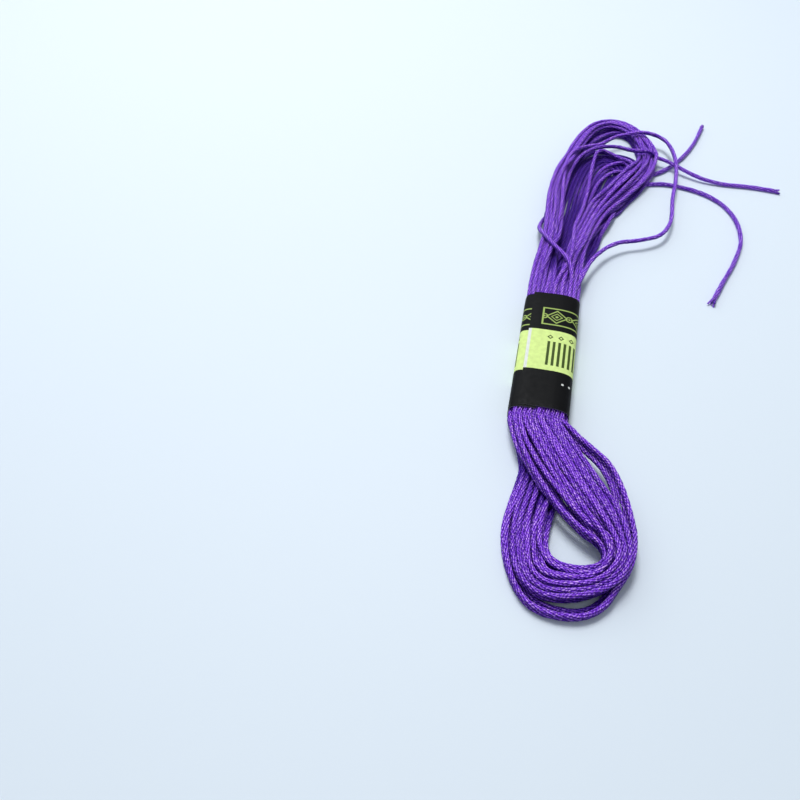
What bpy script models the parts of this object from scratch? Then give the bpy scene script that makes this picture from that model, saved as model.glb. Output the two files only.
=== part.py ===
"""Skein of stranded embroidery cotton: the wound hank in its paper band, with three free ends.

Units are metres in the scene and millimetres in the tables. +Y runs along the skein to its far
loop, +X is to the right and +Z is up. The origin is the centre of the band's flat underside,
which lies on the table at z = 0.
"""

from collections import namedtuple
from math import ceil, cos, hypot, pi, sin

import bmesh
import bpy
from mathutils import Vector

MM = 0.001

# Thread
THREAD_DIAMETER = 1.2

# Paper band
BAND_LENGTH = 38.0
BAND_WIDTH = 14.2
BAND_HEIGHT = 6.8
BAND_CORNER = 2.1
PAPER = 0.35
GAP = 0.3
LAP_FROM_LEFT = 0.3
LAP_STEP = 0.2
CORNER_STEPS = 5

# Compressed core of the skein, inside the band
CORE_WIDTH = BAND_WIDTH - 2 * (PAPER + GAP)
CORE_HEIGHT = BAND_HEIGHT - 2 * (PAPER + GAP)
CORE_OVERHANG = 0.6
CORE_MIDDLE_Z = BAND_HEIGHT / 2

# Lofted locks of threads
RING_STEP = 3.8
STRAND_STEP = 3.4
CORD_STEP = 2.6
RIB_DEPTH = 0.32
EDGE_CREST_SPREAD = 1.04
EDGE_CREST_HEIGHT = 0.9
STRAND_SIDES = 8

# Table plane, which flattens the threads that lie on it
TABLE_BLOCK = Vector((120.0, 240.0, 6.0))
TABLE_BLOCK_CENTRE = Vector((10.0, 22.0, -TABLE_BLOCK.z / 2))

Station = namedtuple("Station", "x y z wide tall")
Point = namedtuple("Point", "x y z")
Lock = namedtuple("Lock", "name ribs stations")
Strand = namedtuple("Strand", "name route")

# Front loop. Each lock leaves the band in the upper rows, fans to the right, turns at the front
# and comes back on the left in the lower rows.
FRONT_INNER = Lock(
    "front_inner",
    2,
    [
        Station(-4.9, -15.0, 4.60, 2.2, 2.2),
        Station(-4.9, -20.2, 4.70, 2.3, 2.3),
        Station(-2.6, -26.6, 5.00, 2.5, 2.6),
        Station(0.8, -32.2, 5.20, 2.5, 2.7),
        Station(4.8, -37.2, 5.20, 2.5, 2.7),
        Station(8.8, -42.2, 5.00, 2.5, 2.7),
        Station(12.8, -46.4, 4.70, 2.5, 2.8),
        Station(16.6, -49.6, 4.30, 2.5, 3.0),
        Station(19.0, -52.6, 3.80, 2.4, 3.2),
        Station(18.2, -55.4, 3.30, 2.3, 3.1),
        Station(14.4, -56.8, 2.90, 2.3, 2.8),
        Station(9.8, -57.2, 2.60, 2.4, 2.7),
        Station(5.8, -55.8, 2.20, 2.4, 2.7),
        Station(3.8, -52.0, 1.70, 2.4, 2.7),
        Station(3.6, -46.8, 1.30, 2.4, 2.8),
        Station(4.8, -40.5, 1.15, 2.4, 2.8),
        Station(6.2, -33.5, 1.20, 2.4, 2.8),
        Station(6.0, -26.5, 1.60, 2.4, 2.7),
        Station(4.9, -20.2, 2.10, 2.3, 2.3),
        Station(4.9, -15.0, 2.20, 2.2, 2.2),
    ],
)
FRONT_MIDDLE = Lock(
    "front_middle",
    5,
    [
        Station(0.0, -15.0, 4.60, 8.0, 2.2),
        Station(0.1, -20.2, 4.70, 7.9, 2.3),
        Station(2.6, -25.4, 5.00, 8.4, 2.7),
        Station(6.4, -31.0, 5.20, 9.0, 2.8),
        Station(10.9, -37.2, 5.20, 8.8, 2.9),
        Station(15.0, -43.2, 4.90, 7.6, 3.2),
        Station(18.3, -48.6, 4.40, 5.9, 3.9),
        Station(20.0, -53.2, 3.90, 4.7, 4.6),
        Station(18.6, -57.3, 3.40, 4.4, 4.4),
        Station(14.8, -59.8, 3.00, 4.2, 4.1),
        Station(10.0, -60.6, 2.70, 4.2, 3.8),
        Station(5.6, -59.4, 2.40, 4.6, 3.6),
        Station(2.4, -56.0, 2.10, 4.8, 3.4),
        Station(0.8, -50.8, 1.70, 5.2, 3.2),
        Station(1.0, -44.4, 1.40, 5.4, 3.0),
        Station(2.2, -37.8, 1.20, 5.6, 2.8),
        Station(3.0, -31.0, 1.25, 6.0, 2.8),
        Station(1.6, -25.0, 1.60, 7.2, 2.7),
        Station(0.0, -20.2, 2.10, 7.9, 2.3),
        Station(0.0, -15.0, 2.20, 8.0, 2.2),
    ],
)
FRONT_OUTER = Lock(
    "front_outer",
    2,
    [
        Station(4.9, -15.0, 4.60, 2.2, 2.2),
        Station(4.9, -20.2, 4.70, 2.3, 2.3),
        Station(7.6, -23.9, 5.00, 2.4, 2.6),
        Station(11.4, -27.0, 5.20, 2.5, 2.7),
        Station(15.2, -31.0, 5.20, 2.5, 2.7),
        Station(18.2, -36.6, 5.10, 2.5, 2.7),
        Station(20.2, -42.8, 4.90, 2.5, 2.7),
        Station(21.5, -48.8, 4.40, 2.6, 2.8),
        Station(21.8, -54.0, 3.70, 2.6, 3.0),
        Station(20.2, -58.6, 3.00, 2.6, 3.0),
        Station(16.8, -62.2, 2.40, 2.6, 2.8),
        Station(12.6, -64.6, 2.00, 2.6, 2.7),
        Station(7.8, -65.2, 1.70, 2.6, 2.7),
        Station(3.2, -63.2, 1.50, 2.6, 2.7),
        Station(-0.2, -59.0, 1.30, 2.6, 2.8),
        Station(-2.2, -53.4, 1.20, 2.6, 2.8),
        Station(-2.6, -47.4, 1.15, 2.6, 2.8),
        Station(-1.4, -41.0, 1.15, 2.4, 2.8),
        Station(-0.6, -34.2, 1.20, 2.4, 2.8),
        Station(-2.4, -27.0, 1.55, 2.3, 2.7),
        Station(-4.9, -20.2, 2.10, 2.3, 2.3),
        Station(-4.9, -15.0, 2.20, 2.2, 2.2),
    ],
)

# Far loop. Each lock leaves the left half of the band, rounds the far end and comes back into
# the right half.
FAR_OUTER = Lock(
    "far_outer",
    3,
    [
        Station(-4.5, 15.0, 4.00, 2.9, 3.4),
        Station(-4.5, 20.0, 4.00, 3.0, 3.6),
        Station(-4.4, 28.0, 3.60, 3.6, 4.2),
        Station(-4.0, 38.0, 2.90, 4.1, 4.3),
        Station(-3.0, 48.0, 2.40, 4.3, 4.2),
        Station(-2.4, 58.0, 2.20, 4.4, 4.1),
        Station(-2.6, 68.0, 2.20, 4.4, 4.0),
        Station(-1.4, 77.5, 2.20, 4.4, 3.9),
        Station(0.8, 86.0, 2.20, 4.4, 3.8),
        Station(2.8, 94.4, 2.10, 4.6, 3.6),
        Station(5.4, 102.2, 2.00, 5.4, 3.3),
        Station(9.4, 107.4, 1.90, 6.4, 3.0),
        Station(14.4, 108.8, 1.80, 7.2, 2.9),
        Station(18.8, 105.8, 1.80, 6.4, 3.0),
        Station(21.8, 100.8, 1.90, 5.2, 3.4),
        Station(23.4, 94.6, 1.90, 4.5, 3.7),
        Station(23.2, 87.0, 2.00, 4.4, 3.9),
        Station(20.4, 78.6, 2.00, 4.4, 4.0),
        Station(16.0, 69.6, 2.00, 4.4, 4.1),
        Station(11.6, 60.2, 2.10, 4.4, 4.1),
        Station(7.9, 50.4, 2.30, 4.3, 4.2),
        Station(5.7, 40.6, 2.70, 4.1, 4.3),
        Station(4.7, 30.4, 3.30, 3.6, 4.3),
        Station(4.5, 20.0, 4.00, 3.0, 3.6),
        Station(4.5, 15.0, 4.00, 2.9, 3.4),
    ],
)
FAR_MIDDLE = Lock(
    "far_middle",
    2,
    [
        Station(-1.6, 15.0, 4.00, 2.2, 3.4),
        Station(-1.6, 20.0, 4.00, 2.3, 3.6),
        Station(-1.2, 29.0, 4.00, 2.7, 3.9),
        Station(-0.6, 39.0, 3.90, 3.0, 3.6),
        Station(0.0, 50.0, 3.60, 3.1, 3.2),
        Station(-0.2, 61.0, 3.50, 3.1, 3.0),
        Station(-0.2, 71.0, 3.60, 3.1, 3.0),
        Station(0.8, 80.5, 3.60, 3.1, 2.9),
        Station(3.6, 89.0, 3.50, 3.0, 2.8),
        Station(8.2, 94.6, 3.40, 2.8, 2.7),
        Station(13.6, 96.4, 3.30, 2.7, 2.7),
        Station(18.4, 94.4, 3.30, 2.8, 2.8),
        Station(20.8, 88.8, 3.40, 3.0, 2.8),
        Station(19.8, 80.8, 3.50, 3.1, 2.9),
        Station(15.4, 71.0, 3.60, 3.2, 3.0),
        Station(11.0, 61.0, 3.60, 3.2, 3.2),
        Station(7.2, 50.8, 3.70, 3.1, 3.4),
        Station(4.4, 40.4, 3.90, 2.9, 3.6),
        Station(2.6, 30.0, 4.00, 2.7, 3.9),
        Station(1.6, 20.0, 4.00, 2.3, 3.6),
        Station(1.6, 15.0, 4.00, 2.2, 3.4),
    ],
)
FAR_INNER = Lock(
    "far_inner",
    2,
    [
        Station(-4.4, 15.0, 1.50, 2.5, 1.2),
        Station(-4.4, 20.0, 1.45, 2.6, 1.3),
        Station(-3.2, 29.0, 1.10, 3.2, 1.7),
        Station(-1.0, 39.0, 0.80, 3.8, 1.9),
        Station(0.8, 50.0, 0.75, 4.2, 1.9),
        Station(1.8, 61.0, 0.75, 4.4, 1.9),
        Station(2.8, 71.0, 0.75, 4.4, 1.9),
        Station(4.6, 80.0, 0.80, 4.4, 2.0),
        Station(8.4, 87.2, 0.90, 4.0, 2.2),
        Station(13.4, 89.8, 1.00, 3.8, 2.3),
        Station(18.0, 87.6, 1.00, 3.8, 2.3),
        Station(18.9, 81.0, 0.95, 4.2, 2.2),
        Station(15.8, 71.4, 0.85, 4.6, 2.0),
        Station(12.0, 61.6, 0.75, 4.4, 1.9),
        Station(8.6, 51.8, 0.75, 4.2, 1.9),
        Station(6.0, 42.0, 0.80, 4.0, 1.9),
        Station(4.8, 31.0, 1.10, 3.4, 1.7),
        Station(4.4, 20.0, 1.45, 2.6, 1.3),
        Station(4.4, 15.0, 1.50, 2.5, 1.2),
    ],
)
FAR_CORE = Lock(
    "far_core",
    4,
    [
        Station(0.0, 15.0, 1.50, 5.4, 1.2),
        Station(0.0, 20.0, 1.45, 5.6, 1.3),
        Station(1.5, 29.0, 1.10, 5.8, 1.7),
        Station(3.3, 39.0, 0.80, 6.2, 1.9),
        Station(5.4, 50.0, 0.75, 7.2, 1.9),
        Station(7.4, 61.0, 0.75, 7.8, 1.9),
        Station(9.4, 70.0, 0.75, 7.8, 1.9),
        Station(11.4, 78.0, 0.80, 7.0, 2.0),
        Station(13.0, 83.6, 0.80, 5.2, 1.9),
        Station(13.8, 86.2, 0.80, 2.8, 1.2),
    ],
)

# Single strands of the winding that stand off the locks: the slack turn at the right of the far
# loop, the strand that crosses over its foot, and the one that spans its middle.
SLACK_TURN = Strand(
    "slack_turn",
    [
        Point(5.0, 16.0, 3.6),
        Point(5.8, 21.0, 4.0),
        Point(6.9, 28.4, 4.3),
        Point(8.6, 36.0, 4.2),
        Point(12.2, 43.4, 3.8),
        Point(17.2, 48.0, 3.6),
        Point(23.2, 50.8, 3.4),
        Point(27.6, 54.4, 3.3),
        Point(30.0, 60.6, 3.3),
        Point(31.0, 69.4, 3.4),
        Point(31.9, 79.6, 3.6),
        Point(32.4, 89.4, 3.8),
        Point(31.2, 97.0, 4.0),
        Point(28.0, 103.0, 4.1),
        Point(23.2, 106.2, 4.0),
        Point(18.4, 106.4, 3.8),
        Point(13.8, 104.4, 3.7),
        Point(9.4, 101.2, 3.7),
        Point(5.8, 96.6, 3.5),
        Point(3.6, 90.6, 3.0),
    ],
)
CROSSING_STRAND = Strand(
    "crossing_strand",
    [
        Point(5.0, 16.5, 5.0),
        Point(5.4, 21.0, 5.5),
        Point(5.0, 27.0, 6.0),
        Point(2.8, 32.4, 6.2),
        Point(-0.4, 37.2, 6.0),
        Point(-3.9, 42.4, 5.0),
        Point(-5.5, 48.4, 3.0),
        Point(-5.1, 55.0, 1.3),
        Point(-3.9, 61.5, 0.9),
    ],
)
SPANNING_STRAND = Strand(
    "spanning_strand",
    [
        Point(2.4, 16.5, 4.8),
        Point(2.7, 22.0, 5.4),
        Point(3.0, 30.0, 5.8),
        Point(3.4, 38.0, 5.6),
        Point(4.0, 48.0, 4.9),
        Point(4.9, 58.0, 4.0),
        Point(5.9, 69.0, 3.4),
        Point(6.8, 80.0, 3.5),
        Point(7.8, 89.4, 4.3),
        Point(9.8, 95.4, 4.4),
        Point(13.6, 98.0, 3.4),
    ],
)

# Free ends. They come out under the right edge of the far loop and lie on the table.
FREE_ENDS = [
    Strand(
        "free_end_short",
        [
            Point(25.35, 86.3, 0.65),
            Point(28.9, 89.4, 0.65),
            Point(31.6, 93.0, 0.65),
            Point(34.4, 97.4, 0.65),
            Point(37.1, 103.0, 0.65),
            Point(39.5, 109.8, 0.65),
            Point(41.9, 119.0, 0.65),
        ],
    ),
    Strand(
        "free_end_straight",
        [
            Point(25.95, 93.3, 2.70),
            Point(29.6, 92.2, 2.45),
            Point(33.0, 90.2, 2.15),
            Point(36.6, 88.2, 1.75),
            Point(41.0, 86.6, 1.20),
            Point(46.8, 86.0, 0.70),
            Point(52.6, 86.2, 0.65),
            Point(58.4, 86.0, 0.65),
            Point(63.8, 85.4, 0.65),
        ],
    ),
    Strand(
        "free_end_curved",
        [
            Point(23.45, 80.9, 0.65),
            Point(28.4, 82.2, 0.65),
            Point(33.2, 82.0, 0.65),
            Point(38.9, 80.4, 0.65),
            Point(43.4, 77.8, 0.65),
            Point(47.2, 73.6, 0.65),
            Point(49.8, 67.0, 0.65),
            Point(50.3, 58.2, 0.65),
            Point(47.9, 48.6, 0.65),
            Point(44.2, 38.8, 0.65),
            Point(40.9, 29.6, 0.65),
        ],
    ),
]

# Finishes: linear colour, roughness
FLOSS_FINISH = ((0.105, 0.026, 0.376, 1.0), 0.55)
LABEL_FINISH = ((0.016, 0.016, 0.018, 1.0), 0.42)


def clear_scene():
    """Remove every object that the new file starts with."""
    for obj in list(bpy.data.objects):
        bpy.data.objects.remove(obj, do_unlink=True)


def make_material(name, finish):
    """Return a Principled material of one colour and roughness."""
    colour, roughness = finish
    material = bpy.data.materials.new(name)
    material.use_nodes = True
    shader = material.node_tree.nodes["Principled BSDF"]
    shader.inputs["Base Color"].default_value = colour
    shader.inputs["Roughness"].default_value = roughness
    shader.inputs["Metallic"].default_value = 0.0
    return material


def smooth_curve(rows, step):
    """Return rows of the same kind along the Catmull-Rom curve through the given rows."""
    kind = type(rows[0])
    first = kind(*(2 * a - b for a, b in zip(rows[0], rows[1])))
    last = kind(*(2 * a - b for a, b in zip(rows[-1], rows[-2])))
    padded = [first, *rows, last]
    found = []
    for before, start, end, after in zip(padded, padded[1:], padded[2:], padded[3:]):
        count = max(1, ceil(hypot(end.x - start.x, end.y - start.y) / step))
        for k in range(count):
            t = k / count
            found.append(
                kind(
                    *(
                        0.5
                        * (
                            2 * p1
                            + (p2 - p0) * t
                            + (2 * p0 - 5 * p1 + 4 * p2 - p3) * t**2
                            + (3 * p1 - p0 - 3 * p2 + p3) * t**3
                        )
                        for p0, p1, p2, p3 in zip(before, start, end, after)
                    )
                )
            )
    found.append(rows[-1])
    return found


def ribbed_ring(wide, tall, ribs):
    """Return (side, up) points, in millimetres, of a flat bundle with ribs above and below."""
    top = []
    last = 2 * ribs - 2
    for k in range(last + 1):
        side = (0.5 - (k + 1) / (2 * ribs)) * wide
        up = tall / 2
        if k in (0, last):
            side *= EDGE_CREST_SPREAD
            up *= EDGE_CREST_HEIGHT
        elif k % 2 == 1:
            up -= RIB_DEPTH
        top.append((side, up))
    bottom = [(side, -up) for side, up in reversed(top)]
    return [(wide / 2, 0.0), *top, (-wide / 2, 0.0), *bottom]


def new_object(name, bm, material):
    """Turn a bmesh in millimetres into a named object in metres."""
    bmesh.ops.scale(bm, vec=Vector((MM, MM, MM)), verts=bm.verts)
    bmesh.ops.recalc_face_normals(bm, faces=bm.faces)
    mesh = bpy.data.meshes.new(name)
    bm.to_mesh(mesh)
    bm.free()
    mesh.materials.append(material)
    obj = bpy.data.objects.new(name, mesh)
    bpy.context.scene.collection.objects.link(obj)
    return obj


def bridge_rings(bm, rings):
    """Join rings of vertices with quads."""
    for ring, following in zip(rings, rings[1:]):
        count = len(ring)
        for k in range(count):
            nxt = (k + 1) % count
            bm.faces.new((ring[k], ring[nxt], following[nxt], following[k]))


def level_frames(rows):
    """Return the level side vector and the up vector at each row of a route."""
    places = [Vector((row.x, row.y, row.z)) for row in rows]
    frames = []
    for k, _ in enumerate(places):
        ahead = places[min(k + 1, len(places) - 1)] - places[max(k - 1, 0)]
        ahead.normalize()
        side = ahead.cross(Vector((0.0, 0.0, 1.0))).normalized()
        frames.append((places[k], side, side.cross(ahead).normalized()))
    return frames


def loft_lock(lock, material):
    """Return the closed, ribbed solid of one lock of threads along its route."""
    rows = smooth_curve(lock.stations, RING_STEP)
    bm = bmesh.new()
    rings = []
    for row, (place, side, up) in zip(rows, level_frames(rows)):
        section = ribbed_ring(row.wide, row.tall, lock.ribs)
        rings.append([bm.verts.new(place + side * a + up * b) for a, b in section])
    bridge_rings(bm, rings)
    bm.faces.new(rings[0])
    bm.faces.new(rings[-1])
    return new_object(lock.name, bm, material)


def tube_strand(strand, material):
    """Return the closed round solid of one strand of the winding."""
    rows = smooth_curve(strand.route, STRAND_STEP)
    radius = THREAD_DIAMETER / 2
    bm = bmesh.new()
    rings = []
    for place, side, up in level_frames(rows):
        turns = [2 * pi * (k + 0.5) / STRAND_SIDES for k in range(STRAND_SIDES)]
        rings.append(
            [bm.verts.new(place + side * radius * cos(a) + up * radius * sin(a)) for a in turns]
        )
    bridge_rings(bm, rings)
    bm.faces.new(rings[0])
    bm.faces.new(rings[-1])
    return new_object(strand.name, bm, material)


def rounded_rectangle(width, height, corner, middle_z):
    """Return (x, z) points round a rounded rectangle, counter-clockwise from the right side."""
    points = []
    for quarter in range(4):
        cx = (width / 2 - corner) * (1 if quarter in (0, 3) else -1)
        cz = (height / 2 - corner) * (1 if quarter < 2 else -1)
        for k in range(CORNER_STEPS + 1):
            angle = pi / 2 * (quarter + k / CORNER_STEPS)
            points.append((cx + corner * cos(angle), middle_z + cz + corner * sin(angle)))
    return points


def make_core(material):
    """Return the compressed threads inside the band as one rounded bar."""
    corner = BAND_CORNER - PAPER - GAP
    outline = rounded_rectangle(CORE_WIDTH, CORE_HEIGHT, corner, CORE_MIDDLE_Z)
    reach = BAND_LENGTH / 2 + CORE_OVERHANG
    bm = bmesh.new()
    rings = [[bm.verts.new((x, y, z)) for x, z in outline] for y in (-reach, reach)]
    bridge_rings(bm, rings)
    bm.faces.new(rings[0])
    bm.faces.new(rings[-1])
    return new_object("skein", bm, material)


def combine(target, tool, operation):
    """Give the target an exact Boolean by a tool that stays hidden."""
    modifier = target.modifiers.new(f"{operation.lower()}_{tool.name}", "BOOLEAN")
    modifier.operation = operation
    modifier.solver = "EXACT"
    modifier.use_self = True
    modifier.object = tool
    tool.hide_render = True
    tool.display_type = "WIRE"


def make_table_block(material):
    """Return the block under the table plane that flattens the lying threads."""
    bm = bmesh.new()
    bmesh.ops.create_cube(bm, size=1.0)
    bmesh.ops.scale(bm, vec=TABLE_BLOCK, verts=bm.verts)
    bmesh.ops.translate(bm, vec=TABLE_BLOCK_CENTRE, verts=bm.verts)
    return new_object("table_block", bm, material)


def make_skein(material):
    """Build the wound form: the core, the locks of both loops and the strands that stand off."""
    skein = make_core(material)
    locks = (
        FRONT_MIDDLE,
        FRONT_INNER,
        FRONT_OUTER,
        FAR_CORE,
        FAR_INNER,
        FAR_OUTER,
        FAR_MIDDLE,
    )
    for lock in locks:
        combine(skein, loft_lock(lock, material), "UNION")
    for strand in (SLACK_TURN, CROSSING_STRAND, SPANNING_STRAND):
        combine(skein, tube_strand(strand, material), "UNION")
    combine(skein, make_table_block(material), "DIFFERENCE")
    return skein


def make_band(material):
    """Build the paper band: one strip wrapped round the skein, with its lapped end on top."""
    outer = rounded_rectangle(BAND_WIDTH, BAND_HEIGHT, BAND_CORNER, CORE_MIDDLE_Z)
    inner = rounded_rectangle(
        BAND_WIDTH - 2 * PAPER, BAND_HEIGHT - 2 * PAPER, BAND_CORNER - PAPER, CORE_MIDDLE_Z
    )
    top_left = CORNER_STEPS + 1
    under_lap = 1 - 2 * LAP_STEP / BAND_HEIGHT
    for k in range(top_left, 2 * top_left):
        x, z = outer[k]
        outer[k] = (x, CORE_MIDDLE_Z + (z - CORE_MIDDLE_Z) * under_lap)
    lap_x = -BAND_WIDTH / 2 + BAND_CORNER + LAP_FROM_LEFT
    outer[top_left:top_left] = [(lap_x, BAND_HEIGHT), (lap_x - LAP_STEP, BAND_HEIGHT - LAP_STEP)]
    inner[top_left:top_left] = [(x, BAND_HEIGHT - PAPER) for x in (lap_x, lap_x - LAP_STEP)]
    bm = bmesh.new()
    ends = []
    for y in (-BAND_LENGTH / 2, BAND_LENGTH / 2):
        ends.append(
            (
                [bm.verts.new((x, y, z)) for x, z in outer],
                [bm.verts.new((x, y, z)) for x, z in inner],
            )
        )
    (outer_near, inner_near), (outer_far, inner_far) = ends
    bridge_rings(bm, [inner_near, outer_near, outer_far, inner_far, inner_near])
    return new_object("paper_band", bm, material)


def make_free_end(strand, material):
    """Build one free end as a round cord along its smooth route."""
    curve = bpy.data.curves.new(strand.name, "CURVE")
    curve.dimensions = "3D"
    curve.bevel_depth = THREAD_DIAMETER / 2 * MM
    curve.bevel_resolution = 2
    curve.use_fill_caps = True
    rows = smooth_curve(strand.route, CORD_STEP)
    spline = curve.splines.new("POLY")
    spline.points.add(len(rows) - 1)
    for point, row in zip(spline.points, rows):
        point.co = (row.x * MM, row.y * MM, row.z * MM, 1.0)
    curve.materials.append(material)
    obj = bpy.data.objects.new(strand.name, curve)
    bpy.context.scene.collection.objects.link(obj)
    return obj


def main():
    """Build the skein, its band and its free ends."""
    clear_scene()
    floss = make_material("floss", FLOSS_FINISH)
    label = make_material("label", LABEL_FINISH)
    make_skein(floss)
    make_band(label)
    for strand in FREE_ENDS:
        make_free_end(strand, floss)


main()
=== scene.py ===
"""Looks of a skein of stranded embroidery cotton: its turns of thread, its paper band and its ends.

Sizes in the tables and dataclasses are millimetres in the frame's axes: +Y runs along the skein to
its far loop, +X is to the right, +Z is up, and the table is z = 0. Meshes are written in metres.
"""

import logging
from dataclasses import dataclass, field
from enum import Enum
from functools import reduce
from math import ceil, cos, pi, radians, sin

import bpy
import numpy as np
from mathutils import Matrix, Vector

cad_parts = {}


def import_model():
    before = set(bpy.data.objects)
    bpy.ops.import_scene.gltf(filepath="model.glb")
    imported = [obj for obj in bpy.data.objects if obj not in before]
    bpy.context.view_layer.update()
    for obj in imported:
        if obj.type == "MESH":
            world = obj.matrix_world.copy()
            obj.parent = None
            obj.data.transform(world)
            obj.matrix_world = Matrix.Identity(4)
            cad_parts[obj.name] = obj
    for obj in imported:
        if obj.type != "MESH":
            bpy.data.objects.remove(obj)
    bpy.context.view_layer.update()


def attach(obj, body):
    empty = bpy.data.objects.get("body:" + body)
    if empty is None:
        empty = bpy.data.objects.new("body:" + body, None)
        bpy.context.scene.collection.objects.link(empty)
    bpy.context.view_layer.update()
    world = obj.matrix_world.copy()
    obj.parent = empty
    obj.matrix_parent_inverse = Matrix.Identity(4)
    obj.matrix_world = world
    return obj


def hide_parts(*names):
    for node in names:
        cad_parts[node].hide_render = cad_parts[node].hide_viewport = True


MM = 0.001
LOG = logging.getLogger("skein")
UP = np.array([0.0, 0.0, 1.0])

Rows = tuple[tuple[float, ...], ...]
Slots = tuple[int, int]
Colour = tuple[float, float, float, float]


class Slot(str, Enum):
    """The record's material slots."""

    FLOSS = "floss"
    LABEL = "label"


# --------------------------------------------------------------------------- tables

# The band holds the threads in rows of columns 0 to LAST_COLUMN. Each row has its height above
# the table and half its width.
LAST_COLUMN = 10
ROW_HEIGHTS = (0.80, 2.38, 4.06, 5.62)
ROW_HALF_SPANS = (5.20, 6.10, 6.10, 5.00)


@dataclass(frozen=True)
class Place:
    """One thread of a lock.

    side counts from the loop's outside to its inside and layer from the table up. leave and back
    are the thread's column and row in the band, where it starts and where it returns.
    """

    side: int
    layer: int
    leave: Slots
    back: Slots


@dataclass(frozen=True)
class Lock:
    """A bundle of threads that turn together.

    rows hold x, y, z, width and height. splits hold a side and the gap in millimetres after it.
    mess is how much more than usual its threads wander.
    """

    name: str
    across: int
    layers: int
    places: tuple[Place, ...]
    rows: Rows
    splits: tuple[tuple[int, float], ...] = ()
    mess: float = 1.0


@dataclass(frozen=True)
class Single:
    """One thread that runs by itself.

    rows hold x, y and z. leave and back are band slots, or None at an end outside the band.
    """

    name: str
    leave: Slots | None
    back: Slots | None
    rows: Rows


def front_places(across: int, first_column: int, first_side: int = 0) -> tuple[Place, ...]:
    """Return the places of a front lock, two layers deep.

    Args:
        across: how many threads lie side by side.
        first_column: the band column of the outermost thread.
        first_side: the side of the outermost thread.

    Returns:
        One place for each thread. They leave in the upper rows and return in the lower ones.
    """
    return tuple(
        Place(first_side + i, j, (first_column - i, 2 + j), (LAST_COLUMN - first_column + i, j))
        for i in range(across)
        for j in (0, 1)
    )


def far_places(*slots: tuple[int, int, int, int]) -> tuple[Place, ...]:
    """Return a far lock's places from (side, layer, column, row), with the way back mirrored."""
    return tuple(Place(i, j, (c, r), (LAST_COLUMN - c, r)) for i, j, c, r in slots)


FRONT_LOCKS = (
    Lock(
        "front_loop_inner", 2, 2,
        front_places(2, 1),
        (
            (-4.9, -15.0, 4.60, 2.2, 2.2), (-4.9, -20.2, 4.70, 2.3, 2.3), (-3.2, -27.2, 5.00, 2.4, 2.6),
            (-0.3, -33.1, 5.00, 2.3, 2.7), (3.4, -38.4, 4.80, 2.3, 2.7), (7.5, -43.2, 4.60, 2.3, 2.7),
            (12.1, -47.1, 4.50, 2.4, 2.8), (15.9, -49.4, 4.30, 2.5, 3.0), (17.3, -51.8, 3.60, 2.4, 3.4),
            (16.2, -54.2, 3.00, 2.3, 3.3), (13.2, -55.6, 2.70, 2.3, 2.8), (9.4, -56.0, 2.50, 2.4, 2.7),
            (5.8, -54.9, 2.20, 2.4, 2.7), (3.8, -51.6, 1.70, 2.4, 2.7), (3.6, -46.8, 1.30, 2.4, 2.8),
            (4.8, -40.5, 1.15, 2.4, 2.8), (6.2, -33.5, 1.20, 2.4, 2.8), (6.0, -26.5, 1.60, 2.4, 2.7),
            (4.9, -20.2, 2.10, 2.3, 2.3), (4.9, -15.0, 2.20, 2.2, 2.2),
        ),
    ),
    Lock(
        "front_loop_middle", 8, 2,
        (Place(0, 1, (9, 3), (1, 1)),) + front_places(7, 8, 1),
        (
            (0.0, -15.0, 4.60, 8.0, 2.2), (0.1, -20.2, 4.70, 7.9, 2.3), (2.6, -25.4, 5.00, 8.4, 2.7),
            (6.0, -31.2, 5.20, 8.4, 2.8), (10.3, -37.6, 5.20, 8.4, 2.9), (14.8, -43.4, 4.90, 8.0, 3.2),
            (17.9, -48.4, 4.40, 6.2, 3.9), (18.8, -52.6, 3.90, 4.8, 4.6), (17.2, -56.4, 3.40, 4.4, 4.4),
            (14.0, -58.8, 2.90, 4.4, 4.1), (9.5, -59.9, 2.50, 5.5, 3.7), (4.8, -59.8, 2.20, 6.0, 3.4),
            (1.8, -56.8, 2.00, 5.6, 3.3), (0.8, -50.8, 1.70, 5.2, 3.2), (1.0, -44.4, 1.40, 5.4, 3.0),
            (2.2, -37.8, 1.20, 5.6, 2.8), (3.0, -31.0, 1.25, 6.0, 2.8), (1.6, -25.0, 1.60, 7.2, 2.7),
            (0.0, -20.2, 2.10, 7.9, 2.3), (0.0, -15.0, 2.20, 8.0, 2.2),
        ),
        ((2, 0.35), (5, 0.85)),
    ),
    Lock(
        "front_loop_outer", 2, 2,
        front_places(2, 10)[:3],
        (
            (5.4, -15.0, 4.60, 2.2, 2.2), (6.3, -19.8, 4.70, 2.3, 2.3), (9.1, -22.8, 5.00, 2.4, 2.6),
            (11.8, -26.7, 5.20, 2.6, 2.7), (15.3, -31.0, 5.20, 2.7, 2.7), (18.0, -36.5, 5.10, 2.8, 2.7),
            (19.9, -42.6, 4.90, 2.9, 2.7), (21.2, -48.4, 4.40, 2.7, 2.8), (20.8, -53.4, 3.70, 2.6, 3.0),
            (18.7, -57.8, 2.70, 2.5, 2.8), (16.5, -61.7, 2.00, 2.4, 2.5), (12.8, -64.3, 1.50, 2.4, 2.3),
            (7.9, -64.8, 1.40, 2.5, 2.4), (3.2, -63.3, 1.30, 2.6, 2.5), (-0.2, -59.0, 1.30, 2.6, 2.8),
            (-2.2, -53.4, 1.20, 2.6, 2.8), (-2.6, -47.4, 1.15, 2.6, 2.8), (-1.4, -41.0, 1.15, 2.4, 2.8),
            (-0.6, -34.2, 1.20, 2.4, 2.8), (-2.4, -27.0, 1.55, 2.3, 2.7), (-4.9, -20.2, 2.10, 2.3, 2.3),
            (-4.9, -15.0, 2.20, 2.2, 2.2),
        ),
    ),
)

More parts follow.
